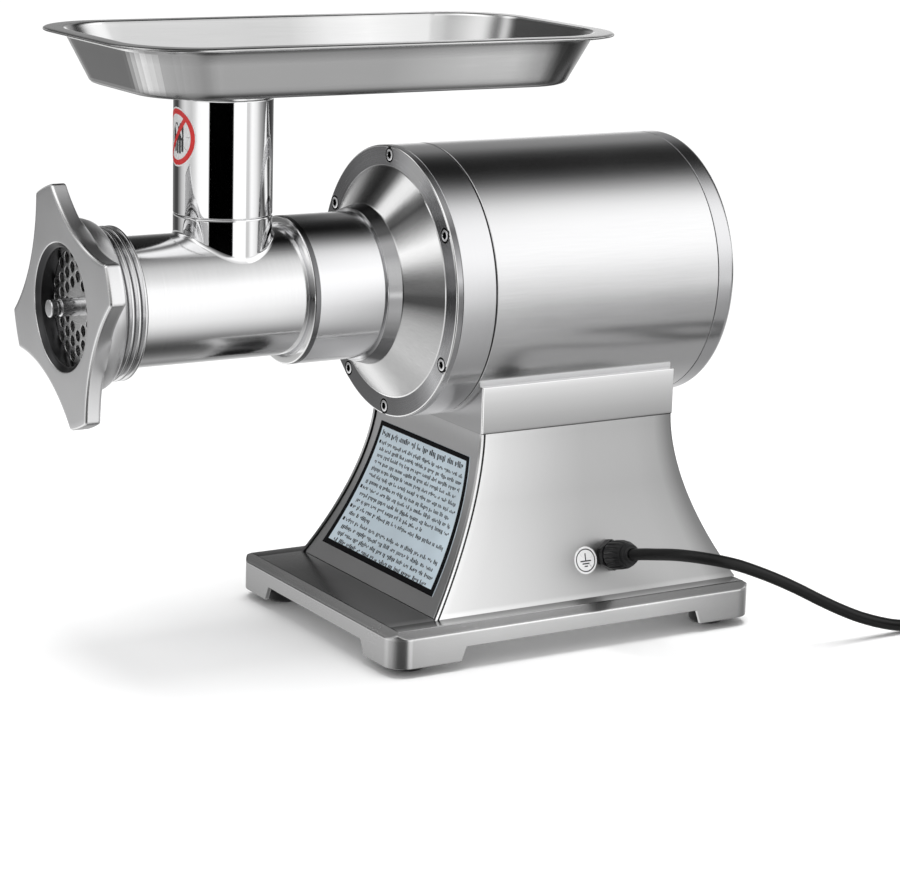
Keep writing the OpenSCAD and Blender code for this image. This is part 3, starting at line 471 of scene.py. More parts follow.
def spin(name, profile, mat, origin, direction, N=64, caps=False, **k):
    """Profile of (radius, height) turned about a line from origin along direction."""
    q = rot_to(direction)
    o = Vector(origin)
    v = []
    for r, s in profile:
        for i in range(N):
            a = 2 * pi * i / N
            v.append(tuple(o + q @ Vector((r * math.cos(a), r * math.sin(a), s))))
    f = ring_faces(len(profile), N, not caps)
    if caps:
        f.append(tuple(range(N))[::-1])
        f.append(tuple((len(profile) - 1) * N + i for i in range(N)))
    return make(name, v, f, mat, **k)


def loft(name, loops, mat, wrap=False, caps=True, **k):
    N = len(loops[0])
    v = [tuple(p) for l in loops for p in l]
    f = ring_faces(len(loops), N, wrap)
    if caps and not wrap:
        f.append(tuple(range(N))[::-1])
        f.append(tuple((len(loops) - 1) * N + i for i in range(N)))
    return make(name, v, f, mat, **k)


def rrect(hw, hl, r, n=12, cx=0.0, cy=0.0, sx=1, sy=1):
    """Rounded rectangle outline, 4 * (n + 1) points, anticlockwise from the +x side."""
    out = []
    for q, (x, y) in enumerate(((hw - r, hl - r), (-hw + r, hl - r), (-hw + r, -hl + r), (hw - r, -hl + r))):
        for i in range(n + 1):
            a = pi / 2 * (q + i / n)
            out.append((cx + x + r * math.cos(a), cy + y + r * math.sin(a)))
    return out


def spline(P, per=8):
    """Centripetal Catmull-Rom line through P."""
    P = [np.array(p, float) for p in P]
    P = [2 * P[0] - P[1]] + P + [2 * P[-1] - P[-2]]
    out = []
    for i in range(1, len(P) - 2):
        p0, p1, p2, p3 = P[i - 1:i + 3]
        t = [0.0]
        for a, b in ((p0, p1), (p1, p2), (p2, p3)):
            t.append(t[-1] + max(np.linalg.norm(b - a), 1e-9) ** 0.5)
        for k in range(per):
            u = t[1] + (t[2] - t[1]) * k / per
            A1 = (t[1] - u) / (t[1] - t[0]) * p0 + (u - t[0]) / (t[1] - t[0]) * p1
            A2 = (t[2] - u) / (t[2] - t[1]) * p1 + (u - t[1]) / (t[2] - t[1]) * p2
            A3 = (t[3] - u) / (t[3] - t[2]) * p2 + (u - t[2]) / (t[3] - t[2]) * p3
            B1 = (t[2] - u) / (t[2] - t[0]) * A1 + (u - t[0]) / (t[2] - t[0]) * A2
            B2 = (t[3] - u) / (t[3] - t[1]) * A2 + (u - t[1]) / (t[3] - t[1]) * A3
            out.append((t[2] - u) / (t[2] - t[1]) * B1 + (u - t[1]) / (t[2] - t[1]) * B2)
    out.append(P[-2])
    return out


def cut(ob, tools):
    """Cuts closed meshes out of ob and applies the result."""
    for t in tools:
        md = ob.modifiers.new("cut", "BOOLEAN")
        md.operation, md.solver, md.object = "DIFFERENCE", "EXACT", t
    dg = bpy.context.evaluated_depsgraph_get()
    me = bpy.data.meshes.new_from_object(ob.evaluated_get(dg))
    ob.modifiers.clear()
    old = ob.data
    ob.data = me
    bpy.data.meshes.remove(old)
    for t in tools:
        bpy.data.objects.remove(t)
    even(ob, 32)
    return ob


def tool_spin(profile, origin, direction, N=64):
    q, o = rot_to(direction), Vector(origin)
    v = [tuple((o + q @ Vector((r * math.cos(2 * pi * i / N), r * math.sin(2 * pi * i / N), s))) * MM) for r, s in profile for i in range(N)]
    f = ring_faces(len(profile), N, False) + [tuple(range(N))[::-1], tuple((len(profile) - 1) * N + i for i in range(N))]
    me = bpy.data.meshes.new("tool")
    me.from_pydata(v, [], f)
    bm = bmesh.new(); bm.from_mesh(me); bmesh.ops.recalc_face_normals(bm, faces=bm.faces); bm.to_mesh(me); bm.free()
    ob = bpy.data.objects.new("tool", me)
    scene.collection.objects.link(ob)
    return ob


# ------------------------------------------------------------------ mains cord (made first, with the camera)
ROUTE = [(111.9, 132, 62.9), (118.5, 133.6, 64.6), (124.6, 135.2, 66), (130.5, 136.8, 67.2), (142, 140.7, 69.5), (152, 145.7, 70.7), (160.5, 153.1, 70.5), (166.5, 163.3, 68.7),
    (169.6, 175.8, 65.1), (170.5, 189.3, 59.8), (170.5, 202, 54.3), (170.5, 214.8, 48.3), (170.5, 227.7, 41.8), (170.5, 245.2, 32.5),
    (170.5, 262.8, 23.7), (170.5, 280.5, 15.9), (170.5, 298.3, 9.7), (170.5, 311.7, 6.1), (170.5, 321, 4.6), (170.5, 334, 4.15),
    (170.5, 348, 4.1), (170.5, 363, 4.1)]
TAIL = [(269.5, 363, 12.3), (269.5, 356, 12.3), (269.5, 348, 12.2), (269.5, 340, 12)]
CX, CY = 220.0, 363.0
line = spline(ROUTE, 8)[:-1]
TURNS, STEP = 4.5, 72
for i in range(int(TURNS * STEP) + 1):
    t = i / STEP
    if t <= 2.0:
        r, z = 49.5 - 8.3 * t, 4.1
    elif t <= 2.5:
        s = (t - 2.0) / 0.5
        q = s * s * (3 - 2 * s)
        r, z = 32.9 - 1.2 * math.sin(pi * s), 4.1 + 8.2 * q
    else:
        r, z = 32.9 + 8.3 * (t - 2.5), 12.3
    a = pi - 2 * pi * t
    line.append(np.array((CX + r * math.cos(a), CY + r * math.sin(a), z)))
line += [np.array(p, float) for p in spline(TAIL, 5)[1:]]
cu = bpy.data.curves.new("mains_cord", "CURVE")
cu.dimensions = "3D"
sp = cu.splines.new("POLY")
sp.points.add(len(line) - 1)
for p, q in zip(sp.points, line):
    p.co = (*(q * MM), 1.0)
cu.bevel_depth = 0.004
cu.bevel_resolution = 5
cu.use_fill_caps = True
cu.materials.append(M["cord"])
cord = bpy.data.objects.new("mains_cord", cu)
scene.collection.objects.link(cord)
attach(cord, "root")
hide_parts("cord", "cord_coil")

def swap(ob, *nodes):
    """Takes the place of CAD nodes: hides those of them that the frame has."""
    have = [n for n in nodes if n in frame["nodes"]]
    if have:
        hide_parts(*have)
    return ob

def paint(ob, fn):
    """Sets each face's material by its centre (mm) and normal."""
    for p in ob.data.polygons:
        p.material_index = fn(p.center * 1000, p.normal)

# ------------------------------------------------------------------ stations (mm)
SEAM, FLANGE, SOCK_F, SOCK_B = -39.65, -69.7, -148.7, -97.3
PLATE_F, BARREL_F, NUT_F, NUT_B = -290.5, -288.0, -302.1, -280.0
TUBE_S, TRAY_S = -190.65, -113.2
TUBE_TOP = 364.0

# ------------------------------------------------------------------ casing
swap(lathe("casing_drum", rounded([(R - 2.4, -39.15), (R, -39.15, 0.5), (R, 134.6, 0.5), (R - 2.4, 134.6)], closed=True), "casing", N=224), "motor_casing")
cap = lathe("casing_rear_cap", [(0.02, 147.2), (82, 147.2), (84.9, 143.5), (84.9, 125), (87.4, 125), (87.4, 135), (89.4, 135)]
    + rounded([(89.4, 135.0), (R, 135.0, 0.4), (R, 149.0, 4.6), (80, 149.0, 1.0), (78.5, 148.4, 1.0), (76, 148.4, 1.0), (0.02, 148.4)], 7)[1:], "cap", N=224, wrap=False)
swap(cap, "rear_cap")
# the joint ring is near-black: a dark joint, with painted shade in its recessed seam
swap(lathe("casing_joint_ring", rounded([(87.45, SEAM - 0.5), (89.3, SEAM - 0.5, 0.2), (89.3, SEAM + 0.5, 0.2), (87.45, SEAM + 0.5)], closed=True), "dark", N=200), "casing_gasket")
house = lathe("gear_housing", [(0.02, -43), (81, -43), (81, -64.6)] + rounded([(81, -64.6), (R, -64.6, 0.4), (R, SEAM - 0.5, 0.5), (87.45, SEAM - 0.5), (87.45, -33), (0.02, -33)], 4)[1:], "bell", N=224, wrap=False)
cuts = [tool_spin([(16, 0), (16, 15)], (0, YO - 45, H), (0, 1, 0))]
swap(cut(house, cuts), "gearbox_housing")

SCREWS = [(84 * math.cos(rad(a)), 84 * math.sin(rad(a))) for a in (90, 30, -30, -90, -126, 150)]
cover = lathe("front_cover", rounded([(20, -64.7), (R, -64.7, 0.3), (R, FLANGE, 1.1), (76.9, FLANGE, 0.5), (76.2, FLANGE - 0.4, 0.5), (52.9, -87.5, 1.6), (50.4, -96.6, 0.4), (49.8, -97.25), (41.4, -97.25), (41.4, -107), (22, -107), (22, -97), (31, -97), (31, -80.5), (20, -80.5)], 5, closed=True),
    ["flange", "cone", "dark", "edge", "throat"], N=256)
cut(cover, [tool_spin([(4.75, 0), (4.75, 2.7), (5.15, 3.1), (5.9, 3.9)], (x, YO - 66.7, H + z), (0, -1, 0), 40) for x, z in SCREWS])
def _cov(c, n):
    r = math.hypot(c.x, c.z - H)
    # painted shade: the screw counterbores are painted near-black
    for x, z in SCREWS:
        if math.hypot(c.x - x, c.z - H - z) < 5.7 and c.y - YO > FLANGE + 0.01 and r > 77:
            return 2
    # painted highlight: the rim edge and the step to the cone get the bright edge material
    if r > R - 1.2 and c.y - YO < FLANGE + 1.2 or 76.0 < r < 77.0 and c.y - YO < FLANGE + 0.35:
        return 3
    # the throat ring, with its painted reflection fans
    if r < 53.3 and c.y - YO < -87.9:
        return 4
    return 1 if r < 76.3 else 0
paint(cover, _cov)
swap(cover, "front_cover")

def hex_screw(name, x, z, y_head, body="root"):
    """Socket screw seen end on: rounded head with a hexagon recess."""
    v, f = [], []
    N = 48
    def ring(r, y, hexa=0.0):
        for k in range(N):
            a = 2 * pi * k / N
            q = r
            if hexa:
                s = (a % (pi / 3)) - pi / 6
                q = hexa * math.cos(pi / 6) / math.cos(s)
            v.append((x + q * math.cos(a), YO + y, H + z + q * math.sin(a)))
    ring(2.4, y_head + 19); ring(2.4, y_head + 3.2); ring(4.0, y_head + 3.2); ring(4.0, y_head + 0.6); ring(3.82, y_head + 0.18); ring(3.4, y_head)
    ring(0, y_head, 2.62); ring(0, y_head + 0.25, 2.35); ring(0, y_head + 2.4, 2.3)
    rows = 9
    f += ring_faces(rows, N, False)
    f.append(tuple(range(N))[::-1]); f.append(tuple((rows - 1) * N + i for i in range(N)))
    ob = make(name, v, f, ["screw", "dark"], body)
    # painted shade: the hexagon recess is painted near-black
    paint(ob, lambda c, n: 1 if math.hypot(c.x - x, c.z - H - z) < 2.36 and c.y < YO + y_head + 3 else 0)
    return ob
for i, (x, z) in enumerate(SCREWS):
    s = hex_screw("cover_screw_%d" % i, x, z, FLANGE - 0.25)
    if i == 0:
        swap(s, "cover_screws")

# ------------------------------------------------------------------ head socket with its lock boss
# the socket's front outer band is painted with the dark steel, a painted dark reflection
sock = lathe("head_socket", rounded([(41.5, SOCK_B), (48.2, SOCK_B, 0.3), (48.2, -144.6), (48.2, SOCK_F, 1.2), (43.6, SOCK_F, 0.5), (42.9, SOCK_F + 1.3, 0.6), (41.5, SOCK_F + 3)], 5, closed=True), ["socket", "socket_band_painted_dark", "edge"], N=224)
# painted highlight: the socket's front face gets the bright edge material
paint(sock, lambda c, n: 2 if n.y < -0.6 else 1 if c.y - YO < -144.6 and math.hypot(c.x, c.z - H) > 46.5 else 0)
swap(sock, "head_socket")
boss = spin("lock_boss", rounded([(5.05, 0), (12.5, 0, 0.01), (11.2, 2.2, 1.6), (11, 14.6, 1.2), (5.05, 14.6)], 5, closed=True), "socket", (-47.2, YO - 123, H), (-1, 0, 0), 96)
pad = spin("lock_pad", [(0.02, 0)] + rounded([(0.02, 0), (4.8, 0, 0.3), (4.8, 2.4, 0.3), (0.02, 2.4)], 3)[1:], "brass", (-41.6, YO - 123, H), (-1, 0, 0), 48, caps=True, body="lock_foot")
swap(pad, "lock_pad")

def lobed(name, loops, mat, origin, direction, body, lobes=6, depth=0.13, N=120, **k):
    """Knob made of rings (radius, height, amount of lobing)."""
    q, o = rot_to(direction), Vector(origin)
    v = []
    for r, h, s in loops:
        for i in range(N):
            a = 2 * pi * i / N
            rr = r * (1 + s * depth * (0.5 * math.cos(lobes * a) + 0.5 - 0.5))
            v.append(tuple(o + q @ Vector((rr * math.cos(a), rr * math.sin(a), h))))
    f = ring_faces(len(loops), N, False) + [tuple(range(N))[::-1], tuple((len(loops) - 1) * N + i for i in range(N))]
    return make(name, v, f, mat, body, **k)
knob = lobed("lock_knob", [(5, 0, 0), (5, 20.5, 0), (8.2, 21.0, 0), (8.4, 21.9, 0), (15.2, 21.9, 1), (16.6, 22.5, 1), (17.3, 24, 1), (17.4, 30, 1), (17.4, 36, 1), (17.0, 38.4, 1), (15.8, 39.5, 1), (13, 39.9, .5), (9.3, 39.9, 0), (8.6, 39.6, 0), (8.3, 38.9, 0), (8.0, 37.2, 0), (7.2, 36.9, 0), (0.05, 36.9, 0)],
    ["black", "screw"], (-44.1, YO - 123, H), (-1, 0, 0), "lock_grip")
paint(knob, lambda c, n: 1 if c.x > -64.9 else 0)
swap(knob, "lock_knob")

# ------------------------------------------------------------------ grinding head: barrel, neck and root
ridge = []
for k in range(5):
    s = -264 - 4.5 * k
    ridge += [(46.4, s, 0.5), (48.8, s - 1.2, 0.5), (48.8, s - 2.6, 0.5), (46.4, s - 3.8, 0.5)]
prof = [(36.0, -141.0), (36.0, -280.5), (41.08, -280.5), (41.08, -287.4), (41.7, BARREL_F), (45.4, BARREL_F, 0.3), (46.4, BARREL_F + 1, 0.3)]
prof += ridge[::-1] + [(46.3, -263.6, 0.2), (41.45, -263.0, 0.8), (41.45, -109, 0.8), (37, -109), (36.0, -110), (36.0, -127), (16.05, -127.5), (16.05, -141)]
barrel = lathe("barrel", rounded(prof, 4, closed=True), ["polish", "thread", "groove_painted_shade"], N=224)
cut(barrel, [tool_spin([(27.0, 0), (27.0, 60)], (0, TY, H), (0, 0, 1), 128)])
# painted shade: the thread's grooves and flanks are painted dark
paint(barrel, lambda c, n: (2 if -287 < c.y - YO < -263.5 and 40 < math.hypot(c.x, c.z - H) < 47.4 else 1) if c.y - YO < -262.9 or math.hypot(c.x, c.z - H) < 40 else 0)
swap(barrel, "grinding_barrel")
# neck with its fillet on the barrel
N = 192
rows = []
NB = 41.45
def zb(r, a):
    return math.sqrt(max(NB * NB - (r * math.cos(a)) ** 2, 0.1))
for i in range(13):            # fillet, from the barrel up
    t = i / 12
    row = []
    for k in range(N):
        a = 2 * pi * k / N
        r2_ = 31.5 + 2.2
        p2, p1, p0 = (r2_, zb(r2_, a) - 0.1), (31.5, zb(31.5, a)), (31.5, zb(31.5, a) + 2.4)
        rr = (1 - t) ** 2 * p2[0] + 2 * t * (1 - t) * p1[0] + t * t * p0[0]
        zz = (1 - t) ** 2 * p2[1] + 2 * t * (1 - t) * p1[1] + t * t * p0[1]
        row.append((rr * math.cos(a), TY + rr * math.sin(a), H + zz))
    rows.append(row)
top_ = rows[-1]
rows.append([(x, y, z + 0.6) for x, y, z in top_])
rows.append([(x, y, 288.3) for x, y, z in top_])
first = [(x * 0.985, TY + (y - TY) * 0.985, z - 1.6) for x, y, z in rows[0]]      # tucked into the barrel's wall
rows.insert(0, first)
for r, z in [(31.5, 288.9), (31.42, 289.5), (31.2, 289.85), (30.9, 289.95), (29.2, 289.95), (29.05, 289.8), (29.05, 272.0), (27.0, 272.0), (27.0, H + 33)]:
    rows.append([(r * math.cos(2 * pi * k / N), TY + r * math.sin(2 * pi * k / N), z) for k in range(N)])
neck = loft("barrel_neck", rows, "chrome", wrap=True, angle=40)
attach(neck, "head")
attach(barrel, "head")

pin = spin("plate_pin", [(0.02, 0), (2, 0), (2, 9.6), (1.7, 10), (0.02, 10)], "gear", (0, YO - 276, H + 38.6), (0, -1, 0), 32, caps=True, body="head")
swap(pin, "plate_pin")
swap(lathe("auger_bush", [(12.08, -140.9), (20, -143.9), (20, -141.2), (16.0, -141.0), (16.0, -127.6), (12.08, -127.6)], "white", N=96, body="head"), "auger_bush")

# ------------------------------------------------------------------ feed screw: flight, core, tang and stud
def auger_mesh():
    v, f = [], []
    L, T = 117.0, 1296.0
    steps = 360
    prof = [(12.6, -3.2), (14.2, -2.4), (33.8, -1.45), (35.2, -1.2), (35.4, -0.8), (35.4, 0.8), (35.2, 1.2), (33.8, 1.45), (14.2, 2.4), (12.6, 3.2)]
    n = len(prof)
    for i in range(steps + 1):
        t = i / steps
        a = rad(T * t - 18)
        y = -268 + L * t
        fade = min(1.0, t / 0.012, (1 - t) / 0.012)
        for r, w in prof:
            yy = min(max(y + w, -268), -151)
            rr = 12.6 + (r - 12.6) * (0.25 + 0.75 * fade)
            v.append((rr * math.cos(a), YO + yy, H + rr * math.sin(a)))
    for i in range(steps):
        for k in range(n - 1):
            f.append((i * n + k, i * n + k + 1, (i + 1) * n + k + 1, (i + 1) * n + k))
        f.append((i * n + n - 1, i * n, (i + 1) * n, (i + 1) * n + n - 1))
    f.append(tuple(range(n))); f.append(tuple(steps * n + i for i in range(n))[::-1])
    return v, f
v, f = auger_mesh()
scr = make("auger_flight", v, f, "polish", "feed_screw", angle=40)
core = lathe("auger_core", [(0.02, -268)] + rounded([(0.02, -268), (13, -268, 0.6), (13, -151.2, 1.5), (19, -151.2, 0.5), (19, -144.2, 0.5), (12, -144.2, 0.3), (12, -127.5, 0.3), (0.02, -127.5)], 4)[1:], "polish", N=128, wrap=False, body="feed_screw")
swap(core, "auger")
tang = loft("auger_tang", [rrect_pts for rrect_pts in [[(x, YO + s, H + z) for x, z in rrect(8 - c, 8 - c, 1.2, 4)] for s, c in ((-128, 0), (-107.4, 0), (-106.5, 0.9))]], "gear", body="feed_screw", angle=40)
stud_sq = loft("auger_stud", [[(x, YO + s, H + z) for x, z in rrect(6.9 - c, 6.9 - c, 0.9, 4)] for s, c in ((-268.1, 0), (-280.0, 0), (-280.4, 0.4))], "screw", body="feed_screw", angle=40)
swap(stud_sq, "auger_stud")
stud = lathe("auger_stud_nose", [(0.02, -279)] + rounded([(0.02, -279), (5.6, -279), (5.6, -302.4, 0.4), (4.5, -302.9, 0.3), (4.5, -305.1, 0.3), (5.6, -305.6, 0.4), (5.6, -310, 0.9), (0.02, -310)], 4)[1:], ["screw", "dark"], N=96, wrap=False, body="feed_screw")
paint(stud, lambda c, n: 0)

# ------------------------------------------------------------------ star nut
def nut_outline(d=0.0):
    c, s = (75.8, 12.6), 110.3
    pts = []
    cr = 3.2
    quarter = []
    # straight end of the lobe, then its corner, then the hollow to the next lobe (lobe 0 along +x)
    cen = np.array((163.3 * math.cos(pi / 4), 163.3 * math.sin(pi / 4)))
    # corner arc centre: cr inside the end line x = 75.8 and cr outside the hollow circle
    cx = 75.8 - cr
    dy = math.sqrt((110.3 + cr) ** 2 - (cen[0] - cx) ** 2)
    cc = np.array((cx, cen[1] - dy))
    u = (cen - cc) / np.linalg.norm(cen - cc)
    a1 = math.atan2(u[1], u[0])
    end = [np.array((75.8 + 0.55 * (1 - (y / cc[1]) ** 2), y)) for y in np.linspace(0, cc[1], 7)[:-1]]
    arc = [cc + cr * np.array((math.cos(q), math.sin(q))) for q in np.linspace(0, a1, 9)]
    b0 = math.atan2(*(cc - cen)[::-1]) % (2 * pi)
    b1 = (math.atan2(1, 1) + pi)
    hol = [cen + 110.3 * np.array((math.cos(q), math.sin(q))) for q in np.linspace(b0, b1, 20)[1:]]
    half = end + arc + hol                       # from the lobe's middle to the hollow's middle
    mir = [np.array((p[1], p[0])) for p in half[:-1]][::-1]
    quarter = half + mir[:-1]                    # to just before the next lobe's middle
    for k in range(4):
        q = rad(90 * k + 20.1)
        m_ = np.array(((math.cos(q), -math.sin(q)), (math.sin(q), math.cos(q))))
        pts += [m_ @ p for p in quarter]
    P = np.array(pts)
    if d:
        t = np.roll(P, -1, 0) - np.roll(P, 1, 0)
        t /= np.linalg.norm(t, axis=1)[:, None]
        P = P - d * np.stack((t[:, 1], -t[:, 0]), 1)
    return P
base_out = nut_outline()
NN = len(base_out)
phi = np.arctan2(base_out[:, 1], base_out[:, 0])
circ = lambda r: np.stack((r * np.cos(phi), r * np.sin(phi)), 1)
def grown(P, r):
    l = np.linalg.norm(P, axis=1)
    # soft maximum of the star's own radius and the collar's
    k = 0.8
    g = np.logaddexp(l / k, r / k) * k
    g = np.where(l > r + 4, l, g)
    return P * (g / l)[:, None]
rows = []
def nut_ring(P, s):
    rows.append([(float(x), YO + s, H + float(z)) for x, z in P])
o14, o07, o03 = nut_outline(1.5), nut_outline(0.7), nut_outline(0.25)
nut_ring(circ(37.0), PLATE_F - 0.3)
nut_ring(circ(37.0), NUT_F + 3.4)
nut_ring(circ(37.25), NUT_F + 3.05)
nut_ring(circ(38.2), NUT_F + 2.6)
nut_ring(circ(40.4), NUT_F + 0.35)
nut_ring(circ(40.75), NUT_F + 0.08)
nut_ring(circ(41.3), NUT_F)
for t in (0.2, 0.45, 0.7, 0.9):
    nut_ring(circ(41.3) * (1 - t) + o14 * t, NUT_F)
nut_ring(o14, NUT_F)
nut_ring(o07, NUT_F + 0.22)
nut_ring(o03, NUT_F + 0.75)
nut_ring(base_out, NUT_F + 1.7)
for s in (2.6, 3.6, 4.8, 6.0, 7.2, 8.4, 9.3):
    nut_ring(grown(base_out, 52 + 3 * (s - 2) / 8.5), NUT_F + s)
nut_ring(grown(nut_outline(0.3), 55), NUT_F + 10.0)
nut_ring(grown(nut_outline(1.0), 55.0), NUT_F + 10.45)
nut_ring(circ(55.0), NUT_F + 10.5)
for r, s in ((54.95, -290.4), (54.6, NUT_B - 6), (53.3, NUT_B - 2.2), (52.7, NUT_B - 1.2), (52.0, NUT_B - 0.35), (51.3, NUT_B), (49.9, NUT_B), (49.15, NUT_B - 0.8), (49.15, PLATE_F - 0.05), (37.6, PLATE_F - 0.05)):
    nut_ring(circ(r), s)
nut = loft("star_nut", rows, ["nut", "nut_edge", "bore"], wrap=True, body="nut", angle=26)
def _nut(c, n):
    r, s = math.hypot(c.x, c.z - H), c.y - YO
    # painted shade: the bore next to the plate is painted near-black
    if r < 40.0 and s < PLATE_F + 6:
        return 2
    # painted highlight: the chamfers and the inner ring get the brighter edge metal
    if r < 41.0 or s < NUT_F + 1.75 and n.y > -0.985:
        return 1
    return 0
paint(nut, _nut)
swap(nut, "ring_nut")

# ------------------------------------------------------------------ feed tube, sticker
tube = lathe("feed_tube", rounded([(27, 272.4, 0.3), (28.9, 272.4, 0.3), (28.9, 290.3), (31.0, 290.3, 0.01), (31.5, 290.8, 0.3), (31.5, TUBE_TOP, 0.7), (27, TUBE_TOP, 0.4)], 4, closed=True), "chrome", N=192, axis="z", origin=(0, TY), body="feed_pipe")
swap(tube, "feed_tube")
def wrap_tube(name, polys, off, thick, mat):
    """Flat outlines (across, up) laid round the feed tube's front, -Y side."""
    v, f = [], []
    for loops in polys:       # each is (outer list, inner list or None), same counts
        outer, inner = loops
        n = len(outer)
        b = len(v)
        for rr in (31.5 + off, 31.5 + off + thick):
            for L in (outer, inner):
                for u, w in L:
                    a = -pi / 2 + (u - 1.2) / 31.5
                    v.append((rr * math.cos(a), TY + rr * math.sin(a), 339.5 + w))
        def q(layer, loop, k):
            return b + layer * 2 * n + loop * n + k % n
        for k in range(n):
            f.append((q(1, 0, k), q(1, 0, k + 1), q(1, 1, k + 1), q(1, 1, k)))
            f.append((q(0, 0, k + 1), q(0, 0, k), q(0, 1, k), q(0, 1, k + 1)))
            f.append((q(0, 0, k), q(0, 0, k + 1), q(1, 0, k + 1), q(1, 0, k)))
            f.append((q(0, 1, k + 1), q(0, 1, k), q(1, 1, k), q(1, 1, k + 1)))
    return make(name, v, f, mat, "feed_pipe", angle=50)
def ringpts(r, n=96):
    return [(r * math.cos(2 * pi * k / n), r * math.sin(2 * pi * k / n)) for k in range(n)]
disc = wrap_tube("sticker_disc", [(ringpts(18.6), ringpts(12.0)), (ringpts(12.0), ringpts(6.0)), (ringpts(6.0), ringpts(0.05))], 0.02, 0.10, "film_white")
swap(disc, "tube_sticker")
ring_ = wrap_tube("sticker_ring", [(ringpts(17.6), ringpts(14.3))], 0.125, 0.06, "film_red")
w = 1.6
bar = []
for side in (1,):
    n = 96
    o, i_ = [], []
    for k in range(n):
        t = k / n
        # long thin rectangle, turned 45 degrees, walked round
        L, W = 14.8, 1.5
        per = 2 * (2 * L + 2 * W)
        d = t * per
        if d < 2 * L: p = (-L + d, -W)
        elif d < 2 * L + 2 * W: p = (L, -W + d - 2 * L)
        elif d < 4 * L + 2 * W: p = (L - (d - 2 * L - 2 * W), W)
        else: p = (-L, W - (d - 4 * L - 2 * W))
        c_, s_ = math.cos(rad(52)), math.sin(rad(52))
        o.append((p[0] * c_ - p[1] * s_, p[0] * s_ + p[1] * c_))
        q_ = (p[0] * 0.999, 0.0)
        i_.append((q_[0] * c_, q_[0] * s_))
    bar.append((o, i_))
bar_ = wrap_tube("sticker_bar", bar, 0.165, 0.06, "film_red")
def bar_loop(cx, cz, hw, hh, n=32):
    o, i_ = [], []
    for k in range(n):
        a = 2 * pi * (k + 0.5) / n
        c_, s_ = math.cos(a), math.sin(a)
        o.append((cx + hw * math.copysign(abs(c_) ** 0.35, c_), cz + hh * math.copysign(abs(s_) ** 0.35, s_)))
        i_.append((cx + 0.02 * c_, cz + (hh - hw if hh > hw else 0.0) * s_))
    return o, i_
hand = [bar_loop(2.6, 3.6, 5.2, 5.4), bar_loop(-3.6, 1.0, 1.0, 4.6)] + [bar_loop(-1.5 + 2.75 * k, -5.0 - (0.0, .9, .7, -.6)[k], 1.05, 4.4) for k in range(4)]
mark_ = wrap_tube("sticker_mark", hand, 0.122, 0.03, "film_black")
for x in (disc, ring_, bar_, mark_):
    x.visible_glossy = False

# ------------------------------------------------------------------ tray
def tl(hw, hl, r, z, n=16):
    return [(x, YO + TRAY_S + y, z) for x, y in rrect(hw, hl, r, n)]
def hole_ring(r, z, like, n=None):
    """Circle round the tube with its points facing those of the loop it is bridged to."""
    out = []
    for x, y, _ in like:
        a = math.atan2(y - TY, x)
        out.append((r * math.cos(a), TY + r * math.sin(a), z))
    return out
BT = 371.4           # inner floor
L_in = tl(62.5, 144.5, 35.5, BT)
loops = [hole_ring(26.9, BT - 0.3, L_in), hole_ring(27.2, BT, L_in), hole_ring(29.5, BT, L_in)]
mid = [tuple(0.5 * (a + b) for a, b in zip(p, q)) for p, q in zip(loops[-1], L_in)]
loops += [mid, L_in]
def wall(t, off):
    # half sizes of the wall's outer line from the bottom (t 0) to the rim (t 1)
    return (71 + 12.3 * t - off, 153 + 12.4 * t - off, 42 + 4 * t - off * 0.8)
for hw, hl, r, z in ((64.7, 146.7, 37.0, 371.5), (66.8, 148.8, 38.6, 372.15), (68.6, 150.6, 39.8, 373.4), (69.9, 151.9, 40.6, 375.4)):
    loops.append(tl(hw, hl, r, z))
for t in (0.15, 0.35, 0.55, 0.75, 0.9):
    hw, hl, r = wall(t, 1.3)
    loops.append(tl(hw, hl, r, 373 + 28.4 * t))
for hw, hl, r, z in ((82.3, 164.4, 45.1, 402.2), (82.6, 164.7, 45.2, 403.2), (83.3, 165.4, 45.5, 403.85), (84.3, 166.4, 46.0, 404.0), (92.4, 174.5, 49.2, 404.0), (93.6, 175.7, 49.7, 403.75), (94.2, 176.3, 49.9, 403.25), (94.3, 176.4, 50.0, 402.8),
        (94.2, 176.3, 49.9, 402.3), (93.6, 175.7, 49.7, 401.9), (92.6, 174.7, 49.3, 401.8), (85.6, 167.7, 46.8, 401.8), (84.3, 166.4, 46.3, 401.4), (83.4, 165.5, 46.0, 400.5)):
    loops.append(tl(hw, hl, r, z))
for t in (0.9, 0.7, 0.5, 0.3, 0.15, 0.05):
    hw, hl, r = wall(t, 0.0)
    loops.append(tl(hw, hl, r, 373 + 28.4 * t))
for hw, hl, r, z in ((70.6, 152.6, 41.6, 372.3), (69.3, 151.3, 40.6, 371.0), (67.3, 149.3, 39.2, 370.25), (64.8, 146.8, 37.2, 370.0)):
    loops.append(tl(hw, hl, r, z))
L2 = loops[-1]
e = hole_ring(29.5, 370.0, L2)
loops.append([tuple(0.5 * (a + b) for a, b in zip(p, q)) for p, q in zip(e, L2)])
loops += [e, hole_ring(27.2, 370.0, L2), hole_ring(26.9, 370.3, L2)]
tray = loft("tray", loops, ["tray", "tray_out", "tray_in", "tray_rim_painted_highlight"], wrap=True, body="pan", angle=38)
